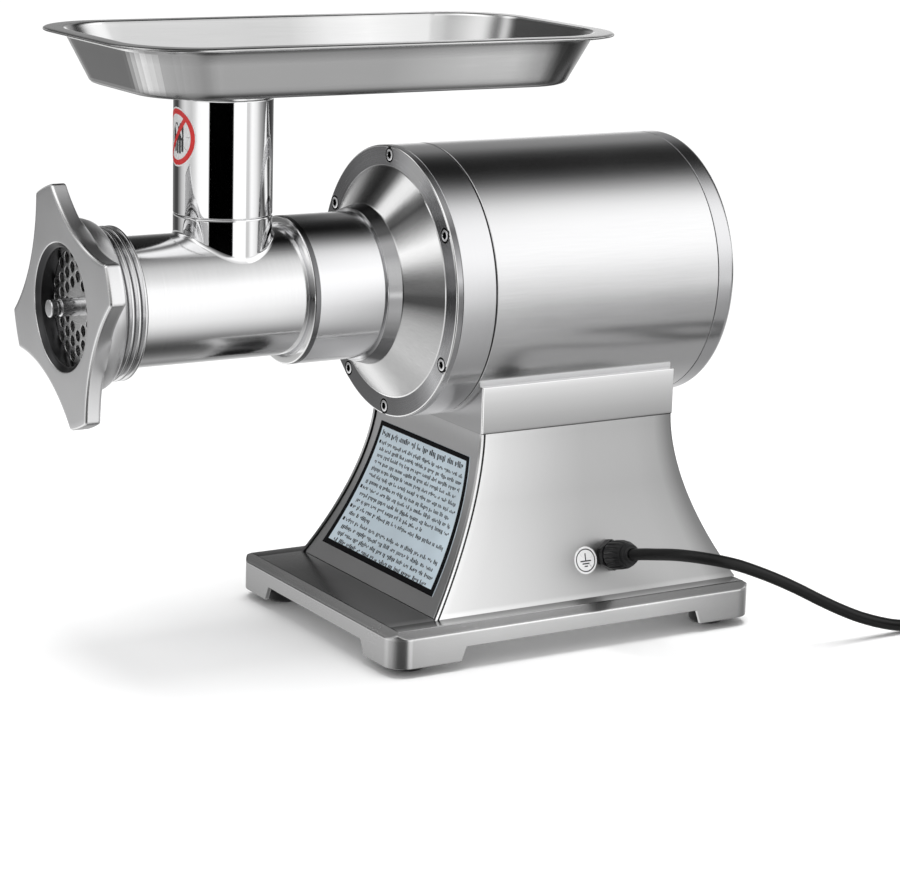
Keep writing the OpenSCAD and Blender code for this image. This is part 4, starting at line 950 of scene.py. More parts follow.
# painted highlight: the rim's flat faces get the brighter rim steel
paint(tray, lambda c, n: 3 if c.z > 401.5 and abs(n.z) > 0.6 or c.z > 402.2 and n.z > 0.3 else 1 if n.z < -0.12 and c.z > 370.3 else 2 if n.z > 0.05 and c.z > 371.3 else 0)
tray.visible_glossy = False
swap(tray, "tray")
coll = lathe("tray_collar", rounded([(25, 335, 0.4), (26.85, 335, 0.4), (26.85, TUBE_TOP + 0.2), (30.8, TUBE_TOP + 0.2, 0.5), (30.8, 369.98, 0.3), (26.85, 369.98), (26.85, 371.6, 0.5), (25, 371.6, 0.6)], 4, closed=True), "rim", N=160, axis="z", origin=(0, TY), body="pan")
swap(coll, "tray_collar")

# ------------------------------------------------------------------ base plate
BH0, BH1 = -109.5, 109.5
B_F, B_R = -121.0, 164.0
def base_loop(inset, z_top, r, n=16, notch=None, dense=True):
    """Base outline as a closed loop of evenly divided points; notch is not used."""
    hw, y0, y1 = 109.5 - inset, B_F + inset, B_R - inset
    rr = max(r - inset, 1.0)
    pts = []
    def seg(a, b, marks):
        ts = sorted({0.0, *marks})
        for t in ts:
            pts.append((a[0] + (b[0] - a[0]) * t, a[1] + (b[1] - a[1]) * t))
    def arc(cx, cy, q):
        for i in range(n):
            a = pi / 2 * (q + i / n)
            pts.append((cx + rr * math.cos(a), cy + rr * math.sin(a)))
    # straight sides are divided where the notches begin and end
    def ty(v): return (v - (y0 + rr)) / ((y1 - rr) - (y0 + rr))
    def tx(v): return (v - (-hw + rr)) / ((hw - rr) - (-hw + rr))
    ym = [0.25, 0.5, 0.75] + [ty(v) for v in (-70.4, -70, -68.5, -67, -65, 114, 116, 117.5, 119, 119.4)]
    xm = [0.25, 0.5, 0.75] + [tx(v) for v in (-69.4, -69, -67, -65, -63, 63, 65, 67, 69, 69.4)]
    seg((hw, y0 + rr), (hw, y1 - rr), ym); arc(hw - rr, y1 - rr, 0)
    seg((hw - rr, y1), (-hw + rr, y1), [1 - t for t in xm]); arc(-hw + rr, y1 - rr, 1)
    seg((-hw, y1 - rr), (-hw, y0 + rr), [1 - t for t in ym]); arc(-hw + rr, y0 + rr, 2)
    seg((-hw + rr, y0), (hw - rr, y0), xm); arc(hw - rr, y0 + rr, 3)
    return pts
def skirt(x, y, inset):
    """Height of the skirt's lower edge at an outline point."""
    def step(v, a, b, w, h):      # 6 outside a..b, 7.5 just inside, h once w further in
        e = min(v - a, b - v)
        if e <= -0.39: return 6.0
        if e <= 0: return 6.0 + 1.5 * (e + 0.39) / 0.39
        return 7.5 + (h - 7.5) * min(e / w, 1.0)
    if abs(abs(x) - (109.5 - inset)) < 0.01:
        return step(y, -70.0, 119.0, 3.0, 15.6)
    if abs(y - (B_F + inset)) < 0.01 or abs(y - (B_R - inset)) < 0.01:
        return step(x, -69.0, 69.0, 4.0, 15.8)
    return 6.0
def bl(inset, z=None, dz=0.0, r=14.0):
    P = base_loop(inset, z, r)
    return [(x, YO + y, (skirt(x, y, inset) + dz) if z is None else z) for x, y in P]
def bc(d, z):
    """Outline cut back by two mitred chamfers, d in from the sides."""
    return [(min(max(x, -109.5 + d), 109.5 - d), YO + min(max(y, B_F + d), B_R - d), z) for x, y in base_loop(0.0, z, 14.0)]
loops = [bl(0.0, None, 0.5), bl(0.0, 17.5), bl(0.0, 25.3), bc(0.06, 25.6), bc(0.25, 25.95)]
loops += [bc(0.25 + 5.95 * k / 12, 25.95 + 4.3 * k / 12) for k in range(1, 13)]
loops += [bc(6.55, 30.36), bc(7.0, 30.4), bl(30, 30.4, r=34)]
top_in = base_loop(30, 30.4, 34)
# opening in the top, under the pedestal
def to_open(P, z):
    out = []
    for x, y in P:
        # project towards the opening's rectangle
        cx, cy, hx, hy = 0.0, 40.0, 55.0, 60.0
        dx, dy = x - cx, y - cy
        s = min(hx / abs(dx) if dx else 9e9, hy / abs(dy) if dy else 9e9)
        out.append((cx + dx * s, YO + cy + dy * s, z))
    return out
loops += [to_open(top_in, 30.4), to_open(top_in, 27.4)]
loops += [bl(30, 27.4, r=34), bl(6.5, 27.4), bl(3.4, 24.2), bl(3.0, 23.6), bl(3.0, 17.5), bl(3.0, None, 0.6), bl(2.7, None, 0.15), bl(2.2, None, 0.0), bl(0.8, None, 0.0), bl(0.25, None, 0.15)]
base = loft("base_plate", loops, ["base", "base_top"], wrap=True, angle=30)
paint(base, lambda c, n: 1 if n.z > 0.85 and c.z > 28 else 0)
swap(base, "base_plate")
for i, (x, y) in enumerate(((-86, B_F + 23), (86, B_F + 23), (-86, B_R - 23), (86, B_R - 23))):
    foot = spin("foot_%d" % i, rounded([(3.1, 5), (6, 5), (6, 0), (10.7, 0, 1.0), (12.0, 1.6, 0.8), (12.5, 7.2, 0.3), (12.2, 7.5, 0.2), (12.6, 7.9, 0.3), (13.2, 15.9, 0.6), (3.1, 15.9)], 4, closed=True), "rubber", (x, YO + y, 0), (0, 0, 1), 72)
    post = spin("foot_post_%d" % i, [(3.1, 15.95), (9, 15.95), (9, 27.5), (3.1, 27.5)], "base", (x, YO + y, 0), (0, 0, 1), 48)
    if i == 0:
        swap(foot, "rubber_feet")

# ------------------------------------------------------------------ pedestal
PZ0, PZ1 = 30.4, 145.0
def fl(z): return max((PZ1 - z) / (PZ1 - PZ0), 0.0) ** 1.75
def px(z): return 70.8 + 21.5 * fl(z)
def pyf(z): return -36.4 - 44.6 * fl(z)
def pyr(z): return 115.3 + 44.6 * fl(z)
_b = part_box("pedestal_shell")
zs = [PZ0 + 0.02, PZ0 + 0.5] + [PZ0 + (PZ1 - PZ0) * i / 40 for i in range(1, 40)] + [PZ1 - 0.5, PZ1]
def ped_loop(z, d, front):
    """Outline of the stand at height z, d inside its outer face. front is the depth of its front edge."""
    x, yr = px(z) - d, pyr(z) - d
    yf = pyf(z) + front
    r = 2.2 if d < 1 else 1.2
    P = [(x, yf), (x, yf + 1.7), (x, yf + 3.2)]
    for i in range(1, 16): P.append((x, yf + (yr - r - yf) * i / 16))
    for i in range(9):
        a = pi / 2 * i / 8
        P.append((x - r + r * math.cos(a), yr - r + r * math.sin(a)))
    for i in range(1, 12): P.append((x - r - 2 * (x - r) * i / 12, yr))
    for i in range(9):
        a = pi / 2 + pi / 2 * i / 8
        P.append((-x + r + r * math.cos(a), yr - r + r * math.sin(a)))
    for i in range(15, 0, -1): P.append((-x, yf + (yr - r - yf) * i / 16))
    P += [(-x, yf + 3.2), (-x, yf + 1.7), (-x, yf)]
    return [(a, YO + b, z) for a, b in P]
def ushell(name, zl, d0, d1, front, mat, **k):
    v, f = [], []
    n = None
    rows = []
    for z in zl:
        o = ped_loop(z, d0, front)
        i = ped_loop(z, d1, front)
        rows.append(o + i[::-1])
    n = len(rows[0])
    v = [p for r_ in rows for p in r_]
    for a in range(len(rows) - 1):
        for b in range(n):
            c = (b + 1) % n
            f.append((a * n + b, a * n + c, (a + 1) * n + c, (a + 1) * n + b))
    h = n // 2
    for layer in (0, len(rows) - 1):
        for b in range(h - 1):
            q = (layer * n + b, layer * n + b + 1, layer * n + n - 2 - b, layer * n + n - 1 - b)
            f.append(q if layer else q[::-1])
    return make(name, v, f, mat, **k)
shell = ushell("stand_shell", zs, 0.0, 2.4, 0.0, ["stand", "stand_flat", "edge", "dark"], angle=30)
def _shell(c, n):
    if n.y > 0.85 and c.y - YO > 100:
        return 1
    # painted highlight: the front faces of the rolled edge get the bright edge material
    if n.y < -0.6 and abs(c.x) > 60 and c.y - YO < -30:
        return 2
    if c.x * n.x > 0 and abs(n.x) > 0.5 and 1.8 < c.y - YO - pyf(c.z) < 3.1:      # painted shade: a dark line painted on the side faces just behind the rolled front edge
        return 3
    # painted shade: the stand's inner faces are painted near-black
    return 3 if c.x * n.x < 0 and abs(n.x) > 0.5 else 0
paint(shell, _shell)
swap(shell, "pedestal_shell")
# roof and floor flange inside the stand
def slab(name, x, y0, y1, z0, z1, mat, r=3.0, body="root", bev=0.3):
    L = [[(a, YO + (y0 + y1) / 2 + b, z) for a, b in rrect(x - c, (y1 - y0) / 2 - c, max(r - c, 0.2), 6)] for z, c in ((z0, bev), (z0 + bev, 0), (z1 - bev, 0), (z1, bev))]
    return loft(name, L, mat, body=body, angle=40)
roof = slab("stand_roof", 68.3, -33.2, 113.0, 142.1, 145.0, "stand")
flange_l = slab("stand_floor", 88.5, -70.0, 156.0, 30.5, 33.4, "stand")
cut(flange_l, [tool_spin([(42, 0), (42, 12)], (0, YO + 40, 26), (0, 0, 1), 64)])

def fsheet(name, x_of, z0, z1, d0, d1, mat, nz=36, nx=18, bev=0.0, **k):
    """A sheet following the stand's front curve, between depths d0 and d1 behind it; x_of(z) is its half width."""
    v, f = [], []
    Z = [z0 + (z1 - z0) * i / nz for i in range(nz + 1)]
    Xn = [-1 + 2 * i / nx for i in range(nx + 1)]
    rows = []
    for z in Z:
        hw = x_of(z)
        front = [(hw * t, YO + pyf(z) + d0, z) for t in Xn]
        if bev:
            front[0] = (front[0][0] + 0.0, front[0][1] + bev, z); front[-1] = (front[-1][0], front[-1][1] + bev, z)
            front.insert(1, (-hw + bev, YO + pyf(z) + d0, z)); front.insert(-1, (hw - bev, YO + pyf(z) + d0, z))
        back = [(hw * t, YO + pyf(z) + d1, z) for t in Xn]
        if bev:
            back.insert(1, (-hw + bev, YO + pyf(z) + d1, z)); back.insert(-1, (hw - bev, YO + pyf(z) + d1, z))
        rows.append(front + back[::-1])
    n = len(rows[0])
    v = [p for r_ in rows for p in r_]
    for a in range(len(rows) - 1):
        for b in range(n):
            c = (b + 1) % n
            f.append((a * n + b, (a + 1) * n + b, (a + 1) * n + c, a * n + c))
    h = n // 2
    for layer in (0, len(rows) - 1):
        for b in range(h - 1):
            q = (layer * n + b, layer * n + b + 1, layer * n + n - 2 - b, layer * n + n - 1 - b)
            f.append(q if not layer else q[::-1])
    return make(name, v, f, mat, **k)
panel = fsheet("front_panel", lambda z: px(z) - 3.5, PZ0 + 0.3, PZ1 - 0.5, 1.0, 3.2, "front", bev=0.5, angle=30)
swap(panel, "front_panel")
gap_ = fsheet("panel_seal", lambda z: px(z) - 2.6, PZ0 + 1.0, PZ1 - 1.2, 1.7, 2.9, "front", angle=30)
# printed sheet: pale ground, black border, ruled lines in place of any wording
LW = lambda z: 75.2 + (58.6 - 75.2) * (z - 41.0) / 86.6
M["paper"] = plastic("label_ground", (0.60, 0.70, 0.77), 0.32, 300, 0.01, 0.5, 0.03)
M["print"] = plastic("label_print", (0.004, 0.004, 0.005), 0.6, 300, 0.01, 0.08, 0.03)
M["print2"] = plastic("label_grey", (0.018, 0.020, 0.024), 0.5, 300, 0.01, 0.15, 0.03)
sheet = fsheet("printed_sheet", LW, 41.0, 127.6, 0.42, 1.0, "paper", angle=40)
swap(sheet, "instruction_plate")
def band(name_parts, x0, x1, z0, z1, d0=0.33, d1=0.44):
    """Thin raised strip on the sheet; x0 and x1 are shares of its half width, z in mm."""
    nz = max(1, int((z1 - z0) / 3)); nx = 2
    b = len(name_parts[0])
    V, F = name_parts
    rows = []
    for i in range(nz + 1):
        z = z0 + (z1 - z0) * i / nz
        hw = LW(z)
        A = [(x0 * hw, YO + pyf(z) + d0, z), (x1 * hw, YO + pyf(z) + d0, z), (x1 * hw, YO + pyf(z) + d1, z), (x0 * hw, YO + pyf(z) + d1, z)]
        V.extend(A)
    for i in range(nz):
        for j in range(4):
            k = (j + 1) % 4
            F.append((b + i * 4 + j, b + i * 4 + k, b + (i + 1) * 4 + k, b + (i + 1) * 4 + j))
    F.append((b + 3, b + 2, b + 1, b)); e_ = b + nz * 4
    F.append((e_, e_ + 1, e_ + 2, e_ + 3))
border, lines, greys = ([], []), ([], []), ([], [])
band(border, -1.0, -0.942, 41.0, 127.6); band(border, 0.942, 1.0, 41.0, 127.6)
band(border, -0.942, 0.942, 41.0, 44.3); band(border, -0.942, 0.942, 124.4, 127.6)

import random
rng = random.Random(5)
def words(parts, z, h, x0, x1, letter=1.0):
    """A row of marks across the sheet, grouped like words but spelling nothing."""
    x = x0
    while x < x1 - 0.05:
        for _ in range(rng.randint(2, 8)):
            w = rng.uniform(0.009, 0.019) * letter
            if x + w > x1:
                break
            lo, hi = rng.choice(((0, .72), (0, .72), (0, 1), (-.25, .72), (0, .45), (.3, .72)))
            band(parts, x, x + w, z + lo * h, z + hi * h, 0.385, 0.43)
            x += w + 0.008 * letter
        x += rng.uniform(0.022, 0.034) * letter
words(lines, 118.3, 4.0, -0.90, 0.93, 1.35)
rowsz = [112.6 - 4.55 * i for i in range(16)]
for i, z in enumerate(rowsz):
    para = i in (0, 7, 10, 12)
    if para:
        band(lines, -0.91, -0.875, z, z + 2.2, 0.385, 0.43)
    words(lines, z, 2.6, -0.855, 0.90 if i not in (9, 11) else -0.45 + 0.9 * (i == 9))
def strips(name, parts, mat):
    ob = make(name, parts[0], parts[1], mat, smooth=False)
    return ob
for x in (sheet, strips("sheet_border", border, "print"), strips("sheet_lines", lines, "print2")):
    x.visible_glossy = False

# ------------------------------------------------------------------ saddle
sx, st_, sb = 70.8, 176.4, 145.0
def sad_loop(y, c):
    a0 = math.asin((st_ - c - H) / -R)      # angle below the axis where the top meets the casing
    th = [math.atan2(st_ - c - H, math.sqrt(R * R - (st_ - c - H) ** 2)) + (-(pi + 2 * math.atan2(st_ - c - H, math.sqrt(R * R - (st_ - c - H) ** 2)))) * i / 48 for i in range(49)]
    P = [(-sx + c + 1.0, sb + 0.02), (sx - c - 1.0, sb + 0.02), (sx - c - 0.3, sb + 0.32), (sx - c, sb + 1.02), (sx - c, st_ - 0.8), (sx - c - 0.25, st_ - 0.25), (sx - c - 0.8, st_ - 0.0)]
    P += [(R * math.cos(t), H + R * math.sin(t)) for t in th]
    P += [(-sx + c + 0.8, st_), (-sx + c + 0.25, st_ - 0.25), (-sx + c, st_ - 0.8), (-sx + c, sb + 1.02), (-sx + c + 0.3, sb + 0.32)]
    return [(x, YO + y, z) for x, z in P]
sad = loft("saddle", [sad_loop(y, c) for y, c in ((-36.4, 1.2), (-36.05, 0.35), (-35.2, 0), (114.8, 0), (115.15, 0.15), (115.3, 0.5))], ["saddle", "edge", "saddle_end_painted_shade"], angle=30)
# painted shade on the front end face; painted highlight on the faces of the front chamfer
paint(sad, lambda c, n: 2 if n.y < -0.97 else 1 if c.y - YO < -35.1 and n.y < -0.2 else 0)
swap(sad, "saddle")

# ------------------------------------------------------------------ earth mark on the stand's side
def side_patch(name, loops2, off, thick, mat, flip=False):
    """Flat outlines (along y from station 39.5, up from EZ) laid on the stand's right side."""
    v, f = [], []
    for outer, inner in loops2:
        n, b = len(outer), len(v)
        for d in (off, off + thick):
            for L in (outer, inner):
                for u, w in L:
                    z = EZ + w
                    v.append((px(z) + d, YO + 39.5 + u, z))
        q = lambda layer, loop, k: b + layer * 2 * n + loop * n + k % n
        for k in range(n):
            f.append((q(1, 0, k), q(1, 0, k + 1), q(1, 1, k + 1), q(1, 1, k)))
            f.append((q(0, 0, k + 1), q(0, 0, k), q(0, 1, k), q(0, 1, k + 1)))
            f.append((q(0, 0, k), q(0, 0, k + 1), q(1, 0, k + 1), q(1, 0, k)))
            f.append((q(0, 1, k + 1), q(0, 1, k), q(1, 1, k), q(1, 1, k + 1)))
    return make(name, v, f, mat, angle=50)
_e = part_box("earth_label")
EZ = (_e[0][2] + _e[1][2]) * 500
def rectpair(x0, x1, y0, y1):
    n = 24
    o, i_ = [], []
    w, h = x1 - x0, y1 - y0
    for k in range(n):
        d = k / n * 2 * (w + h)
        if d < w: p = (x0 + d, y0)
        elif d < w + h: p = (x1, y0 + d - w)
        elif d < 2 * w + h: p = (x1 - (d - w - h), y1)
        else: p = (x0, y1 - (d - 2 * w - h))
        o.append(p)
        i_.append((0.998 * (p[0] - (x0 + x1) / 2) + (x0 + x1) / 2, (y0 + y1) / 2) if w > h else ((x0 + x1) / 2, 0.998 * (p[1] - (y0 + y1) / 2) + (y0 + y1) / 2))
    return o, i_
m1 = side_patch("earth_disc", [(ringpts(8.9), ringpts(5)), (ringpts(5), ringpts(0.05))], 0.03, 0.20, "film_white")
swap(m1, "earth_label")
m2 = side_patch("earth_mark", [(ringpts(7.6), ringpts(6.9)), rectpair(-0.4, 0.4, -0.2, 4.6), rectpair(-4.2, 4.2, -0.9, -0.1), rectpair(-2.8, 2.8, -2.6, -1.8), rectpair(-1.3, 1.3, -4.3, -3.5)], 0.235, 0.06, "film_black")

# ------------------------------------------------------------------ cable gland and plug
GO, GD = Vector((84.4, 132.0, 55.6)), Vector((0.9664, 0, 0.2571)).normalized()
def hexring(name, r, h0, h1, mat, bore=3.1):
    q = rot_to(GD)
    loops = []
    n = 72
    def ring(h, rr, six):
        L = []
        for k in range(n):
            a = 2 * pi * k / n
            s = (a % (pi / 3)) - pi / 6
            rx = min(rr, r * math.cos(pi / 6) / math.cos(s)) if six else rr
            L.append(tuple(GO + q @ Vector((rx * math.cos(a), rx * math.sin(a), h))))
        loops.append(L)
    ring(h0, bore, False); ring(h0, r * 0.90, True); ring(h0 + 0.7, r * 0.985, True); ring(h1 - 0.7, r * 0.985, True); ring(h1, r * 0.90, True); ring(h1, bore, False)
    return loft(name, loops, mat, wrap=True, angle=25)
g1 = hexring("gland_nut", 10.8, 0.15, 5.8, "black")
g0 = hexring("gland_back_nut", 9.8, -8.5, -4.0, "black")
swap(g1, "cable_gland")
g3 = spin("gland_thread", [(3.1, -9), (7, -9), (7, 0.5), (3.1, 0.5)], "black", GO, GD, 48)
gp = [(3.1, 5.9), (9.6, 5.9), (9.6, 8.5), (11.3, 8.6), (11.6, 9.2)]
g2 = []
q = rot_to(GD)
n = 144
def gring(r, h, s):
    g2.append([tuple(GO + q @ Vector(((r - s * (0.5 + 0.5 * math.cos(18 * 2 * pi * k / n)) ** 2) * math.cos(2 * pi * k / n), (r - s * (0.5 + 0.5 * math.cos(18 * 2 * pi * k / n)) ** 2) * math.sin(2 * pi * k / n), h))) for k in range(n)])
for r, h, s in ((3.6, 5.7, 0), (8.4, 5.7, 0), (8.6, 5.9, 0), (8.6, 7.4, 0), (9.0, 7.6, 0), (9.6, 7.6, .1), (9.95, 8.0, .5), (10.0, 9.5, .75), (9.95, 13, .8), (9.85, 17, .75), (9.5, 19.4, .6), (8.95, 21.4, .3), (8.3, 22.9, 0.05),
        (7.9, 23.7, 0), (7.3, 23.8, 0), (7.2, 24.4, 0), (7.5, 24.6, 0), (7.2, 25.7, 0), (6.6, 26.7, 0), (6.1, 26.8, 0), (5.95, 27.4, 0), (6.05, 27.6, 0), (5.7, 28.2, 0), (5.2, 28.5, 0), (4.3, 28.5, 0), (4.1, 28.3, 0), (3.6, 28.3, 0)):
    gring(r, h, s)
g2o = loft("gland_cap", g2, "black", wrap=True, angle=40)

def box_loft(name, axis0, secs, mat, **k):
    """secs: (distance along -Y from y=340, half width, half height, corner radius, centre z)."""
    L = [[(269.5 + a, axis0 - d, cz + b) for a, b in rrect(hw, hh, min(r, hw * 0.98, hh * 0.98), 8)] for d, hw, hh, r, cz in secs]
    return loft(name, L, mat, **k)
pl = box_loft("plug_body", 340.0, [(-0.3, 4.4, 4.4, 4.3, 12), (0, 4.75, 4.75, 4.65, 12), (5, 5.0, 5.0, 4.9, 12), (12, 5.4, 5.4, 5.3, 12), (19, 5.8, 5.8, 5.6, 12), (21.2, 6.2, 6.2, 5.8, 12), (22.3, 10.5, 9.0, 6.0, 12.1), (22.9, 13.6, 10.9, 5.0, 12.1), (24.0, 14.8, 11.75, 4.6, 12.1), (28.6, 15.0, 11.9, 4.6, 12.1), (29.8, 14.2, 11.6, 4.4, 12.1), (30.6, 12.4, 11.2, 4.2, 12.1), (34, 11.6, 10.9, 4.0, 12.1), (48, 12.0, 11.7, 4.0, 12.1), (51.3, 12.0, 11.8, 4.0, 12.1), (52, 11.5, 11.3, 3.8, 12.1)], "black", angle=40)
swap(pl, "plug")
for i, (x, w, h) in enumerate(((-6.35, 0.75, 3.2), (6.35, 0.75, 3.2))):
    b_ = loft("plug_blade_%d" % i, [[(269.5 + x + a, 340.0 - d, 14.7 + b) for a, b in rrect(w - c, h - c, 0.3, 3)] for d, c in ((50, 0), (69.2, 0), (69.9, 0.4))], "screw", angle=40)
e_ = spin("plug_earth_pin", [(0.02, 0), (2.4, 0), (2.4, 20.2), (1.9, 21.4), (0.8, 22), (0.02, 22)], "screw", (269.5, 340 - 50, 5.4), (0, -1, 0), 40, caps=True)

# ------------------------------------------------------------------ CAD nodes that stay: softened edges and their materials
KEEP = {
    "foot_screws": ("screw", 0.2), "bottom_cover": ("base", 0.25), "pedestal_bolts": ("screw", 0.4), "saddle_bolts": ("screw", 0.4),
    "rear_cap_screws": ("screw", 0.6), "motor_frame": ("cast", 0.8), "front_shield": ("cast", 0.8), "rear_shield": ("cast", 0.8),
    "stator_core": ("lam", 0.3), "stator_windings": ("copper", 1.2), "motor_bearings": ("gear", 0.5), "gear_bearings": ("gear", 0.5),
    "shaft_seal": ("rubber", 0.4), "capacitor": ("black", 1.2), "terminal_block": ("white", 0.5), "switch_housing": ("black", 0.45),
    "breaker_housing": ("black", 0.5), "rotor_shaft": ("gear", 0.25), "rotor_core": ("lam", 0.4), "cooling_fan": ("black", 0.3),
    "countershaft": ("gear", 0.25), "intermediate_gear": ("gear", 0.25), "output_shaft": ("gear", 0.4), "output_gear": ("gear", 0.3),
    "cutting_knife": ("knife", 0.35), "hole_plate": ("plate", 0.3), "switch_rocker": ("red", 0.6), "reset_button": ("red", 0.6),
}
for name, (mat, w) in KEEP.items():
    ob = frame["nodes"][name]
    ob.data.materials.clear()
    ob.data.materials.append(M[mat])
    wd = ob.modifiers.new("weld", "WELD")
    wd.merge_threshold = 1e-6
    bv = ob.modifiers.new("edges", "BEVEL")
    bv.width, bv.segments, bv.limit_method, bv.angle_limit = w * MM, 3, "ANGLE", rad(35)
    bv.harden_normals = False
    bv.use_clamp_overlap = True
    even(ob, 40)
print("nodes left as they came:", sorted(n for n in frame["nodes"] if n not in KEEP and not frame["nodes"][n].hide_render))

# ------------------------------------------------------------------ floor, surroundings and lights
def plane(name, size, z, mat):
    me = bpy.data.meshes.new(name)
    s = size / 2
    me.from_pydata([(-s, -s, z), (s, -s, z), (s, s, z), (-s, s, z)], [], [(0, 1, 2, 3)])
    ob = bpy.data.objects.new(name, me)
    scene.collection.objects.link(ob)
    me.materials.append(mat)
    ob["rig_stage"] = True
    return ob
fl_m = Nodes("floor")
fx_, fy_, _ = fl_m.xyz()
fr_ = fl_m.math("SQRT", fl_m.math("ADD", fl_m.math("POWER", fx_, 2.0), fl_m.math("POWER", fl_m.math("SUBTRACT", fy_, 0.08), 2.0)))
fr_ = fl_m.ramp(fr_, 0.42, 1.0)
fl_m.set(Base_Color=fl_m.mix(fr_, (0.93, 0.93, 0.93), (0.0, 0.0, 0.0)), Roughness=0.9, Specular_IOR_Level=0.0, Emission_Color=(1, 1, 1, 1), Emission_Strength=fl_m.math("MULTIPLY", fr_, 1.06))
floor = plane("floor", 30.0, -0.0002, fl_m.m)
floor.visible_glossy = False

world = bpy.data.worlds.new("studio")
scene.world = world
world.use_nodes = True
wt = world.node_tree
wt.nodes.clear()
class W(Nodes):
    def __init__(self, tree):
        self.t = tree
wn = W(wt)
tc = wt.nodes.new("ShaderNodeTexCoord")
sep = wt.nodes.new("ShaderNodeSeparateXYZ")
wt.links.new(tc.outputs["Generated"], sep.inputs[0])
dx, dy, dz = sep.outputs
def ramp_node(value, stops, interp="CARDINAL"):
    """Grey ramp over value 0..1."""
    n = wt.nodes.new("ShaderNodeValToRGB")
    n.color_ramp.interpolation = interp
    while len(n.color_ramp.elements) > 1:
        n.color_ramp.elements.remove(n.color_ramp.elements[-1])
    n.color_ramp.elements[0].position = stops[0][0]
    n.color_ramp.elements[0].color = (stops[0][1],) * 3 + (1,)
    for a, v in stops[1:]:
        e = n.color_ramp.elements.new(a)
        e.color = (v,) * 3 + (1,)
    wt.links.new(value, n.inputs[0])
    return n.outputs[0]
# soft boxes and dark flags round the machine, as brightness by the angle about the Y axis: behind, beside and in front
theta = wn.ramp(wn.math("ARCTAN2", dz, dx), -pi, pi, 0.0, 1.0)
def around(stops, value=theta):
    return ramp_node(value, [((a + 180) / 360, v / 1.3) for a, v in stops], "LINEAR")
REAR = [(-180, 1.2), (-150, .80), (-130, .60), (-110, .45), (-92, .36), (-72, .37), (-45, .365), (-32, .38), (-22, .48), (-12, .66), (-2, .85), (8, 1.04), (18, 1.2), (28, 1.28),
    (50, 1.3), (60, 1.18), (68, 1.0), (74, .78), (80, .52), (86, .31), (92, .14), (98, .05), (108, .015), (122, .02), (131, .05), (138, .13), (146, .27), (156, .30), (166, .34), (171, .55), (176, 1.1), (180, 1.25)]
SIDE = [(-180, .80), (-150, .65), (-132, .27), (-116, .36), (-104, .20), (-92, .10), (-82, .07), (-72, .12), (-62, .30), (-52, .58), (-42, .82), (-32, 1.02), (-12, 1.2), (8, 1.25),
    (28, 1.18), (40, .95), (48, .82), (58, .72), (68, .60), (80, .34), (88, .18), (96, .09), (104, .02), (112, .0), (132, .02), (148, .03), (158, .08), (166, .18), (172, .25), (180, .50)]
FRONT = [(-180, .50), (-170, .48), (-163, .62), (-156, .95), (-150, 1.14), (-141, 1.03), (-133, .85), (-115, .62), (-105, .72), (-80, .62), (-62, .46), (-36, .13),
    (-15, .10), (6, .14), (28, .35), (50, .78), (66, 1.15), (80, 1.29), (90, .95), (98, .45), (106, .20), (113, .13), (119, .45), (125, .95), (131, 1.1), (136, 1.0), (145, .2), (154, .03), (162, .07), (176, .45)]
f1, f1b, f3 = around(REAR), around(SIDE), around(FRONT)
f1 = wn.mix(wn.ramp(dy, 0.462, 0.490), f1b, f1)
f1 = wn.mix(wn.ramp(dy, -0.05, 0.12), f3, f1)
# panels round the standing tube: brightness by the angle from the viewer's side
cx_, cy_ = 0.855, -0.518
psi = wn.math("ARCTAN2", wn.math("ADD", wn.math("MULTIPLY", dy, cx_), wn.math("MULTIPLY", dx, -cy_)), wn.math("ADD", wn.math("MULTIPLY", dx, cx_), wn.math("MULTIPLY", dy, cy_)))
psi = wn.ramp(psi, -pi, pi, 0.0, 1.0)
TUBE = [(-180, .25), (-160, .22), (-152, .16), (-138, .07), (-124, .06), (-112, .34), (-104, .60), (-94, .77), (-74, .62), (-64, .80), (-54, 1.1), (-36, 1.2), (-28.5, 1.2), (-27.5, .0), (28.0, .0), (29.0, 1.2), (60, 1.15), (78, 1.1), (88, .92), (100, .45), (112, .20), (126, .07), (146, .045), (160, .12), (170, .2), (180, .25)]
f2 = around(TUBE, psi)
w2 = wn.math("SUBTRACT", 1.0, wn.ramp(wn.math("ABSOLUTE", wn.math("ADD", dz, 0.135)), 0.04, 0.075), clamp=True)
w3 = wn.math("MULTIPLY", wn.math("SUBTRACT", 1.0, wn.ramp(wn.math("ABSOLUTE", wn.math("SUBTRACT", dy, 0.47)), 0.10, 0.20), clamp=True), wn.ramp(dx, 0.0, 0.1))
w2 = wn.math("MULTIPLY", w2, wn.math("SUBTRACT", 1.0, w3, clamp=True))
spec = wn.mix(w2, f1, f2)
bg1 = wt.nodes.new("ShaderNodeBackground")
wt.links.new(spec, bg1.inputs[0])
bg1.inputs[1].default_value = 1.3
bg2 = wt.nodes.new("ShaderNodeBackground")
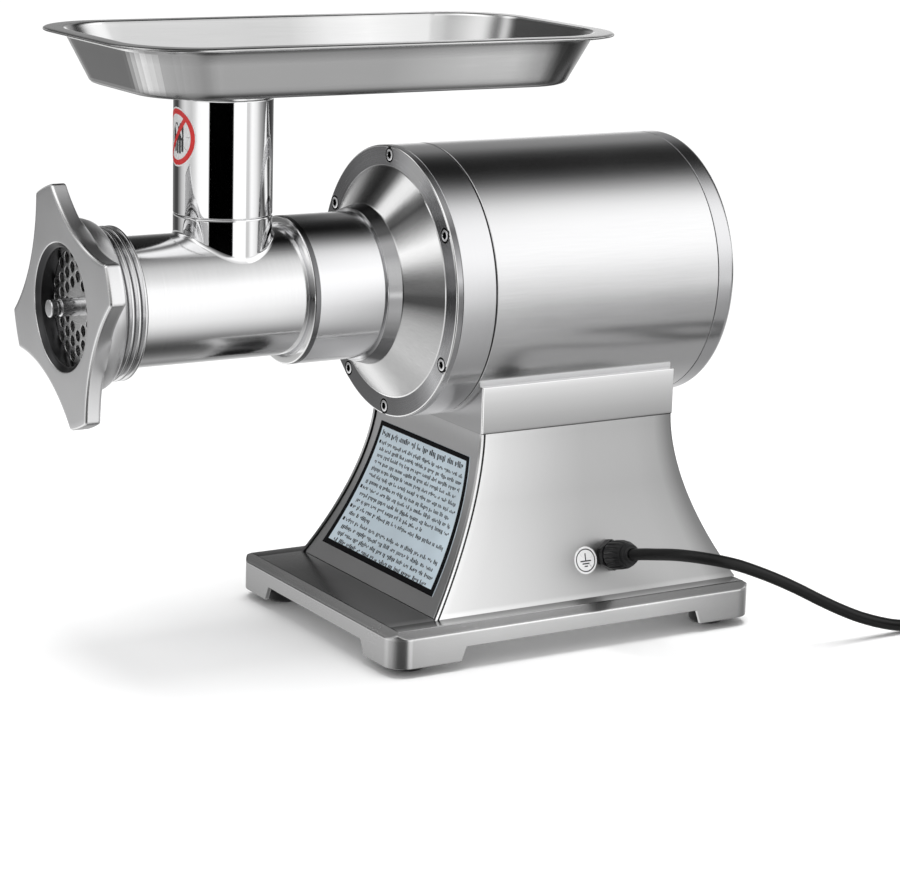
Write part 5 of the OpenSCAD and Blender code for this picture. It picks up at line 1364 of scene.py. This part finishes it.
bg2.inputs[0].default_value = (1, 1, 1, 1)
bg2.inputs[1].default_value = 0.68
lp = wt.nodes.new("ShaderNodeLightPath")
mx = wt.nodes.new("ShaderNodeMixShader")
wt.links.new(lp.outputs["Is Glossy Ray"], mx.inputs[0])
wt.links.new(bg2.outputs[0], mx.inputs[1])
wt.links.new(bg1.outputs[0], mx.inputs[2])
wo = wt.nodes.new("ShaderNodeOutputWorld")
wt.links.new(mx.outputs[0], wo.inputs[0])

def area(name, loc, aim, size, power, sy=None):
    l = bpy.data.lights.new(name, "AREA")
    l.shape = "RECTANGLE"
    l.size, l.size_y = size, sy or size
    l.energy = power
    ob = bpy.data.objects.new(name, l)
    scene.collection.objects.link(ob)
    ob.location = loc
    ob.rotation_euler = (Vector(aim) - Vector(loc)).to_track_quat("-Z", "Y").to_euler()
    ob.visible_camera = False
    ob.visible_glossy = False
    ob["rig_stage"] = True
    return ob
area("key", (1.9, -2.1, 2.3), (0, 0, 0.2), 1.6, 14)
area("top", (0.05, 0.05, 2.3), (0.0, 0.05, 0.0), 1.5, 52)

scene.view_settings.view_transform = "Standard"
scene.view_settings.look = "None"
scene.view_settings.exposure = 0.0
scene.view_settings.gamma = 1.0

# ------------------------------------------------------------------ sizes of everything seen
vis_lo, vis_hi = Vector((1e9,) * 3), Vector((-1e9,) * 3)
bpy.context.view_layer.update()
_dg = bpy.context.evaluated_depsgraph_get()
for ob in scene.objects:
    if ob.type not in ("MESH", "CURVE") or ob.get("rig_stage") or ob.hide_render:
        continue
    ev = ob.evaluated_get(_dg)
    me = ev.to_mesh()
    if me and len(me.vertices):
        co = np.empty(len(me.vertices) * 3)
        me.vertices.foreach_get("co", co)
        co = co.reshape(-1, 3)
        W = np.array(ob.matrix_world)
        co = co @ W[:3, :3].T + W[:3, 3]
        a_, b_ = co.min(0), co.max(0)
        vis_lo = Vector((min(p, float(q)) for p, q in zip(vis_lo, a_)))
        vis_hi = Vector((max(p, float(q)) for p, q in zip(vis_hi, b_)))
    ev.to_mesh_clear()
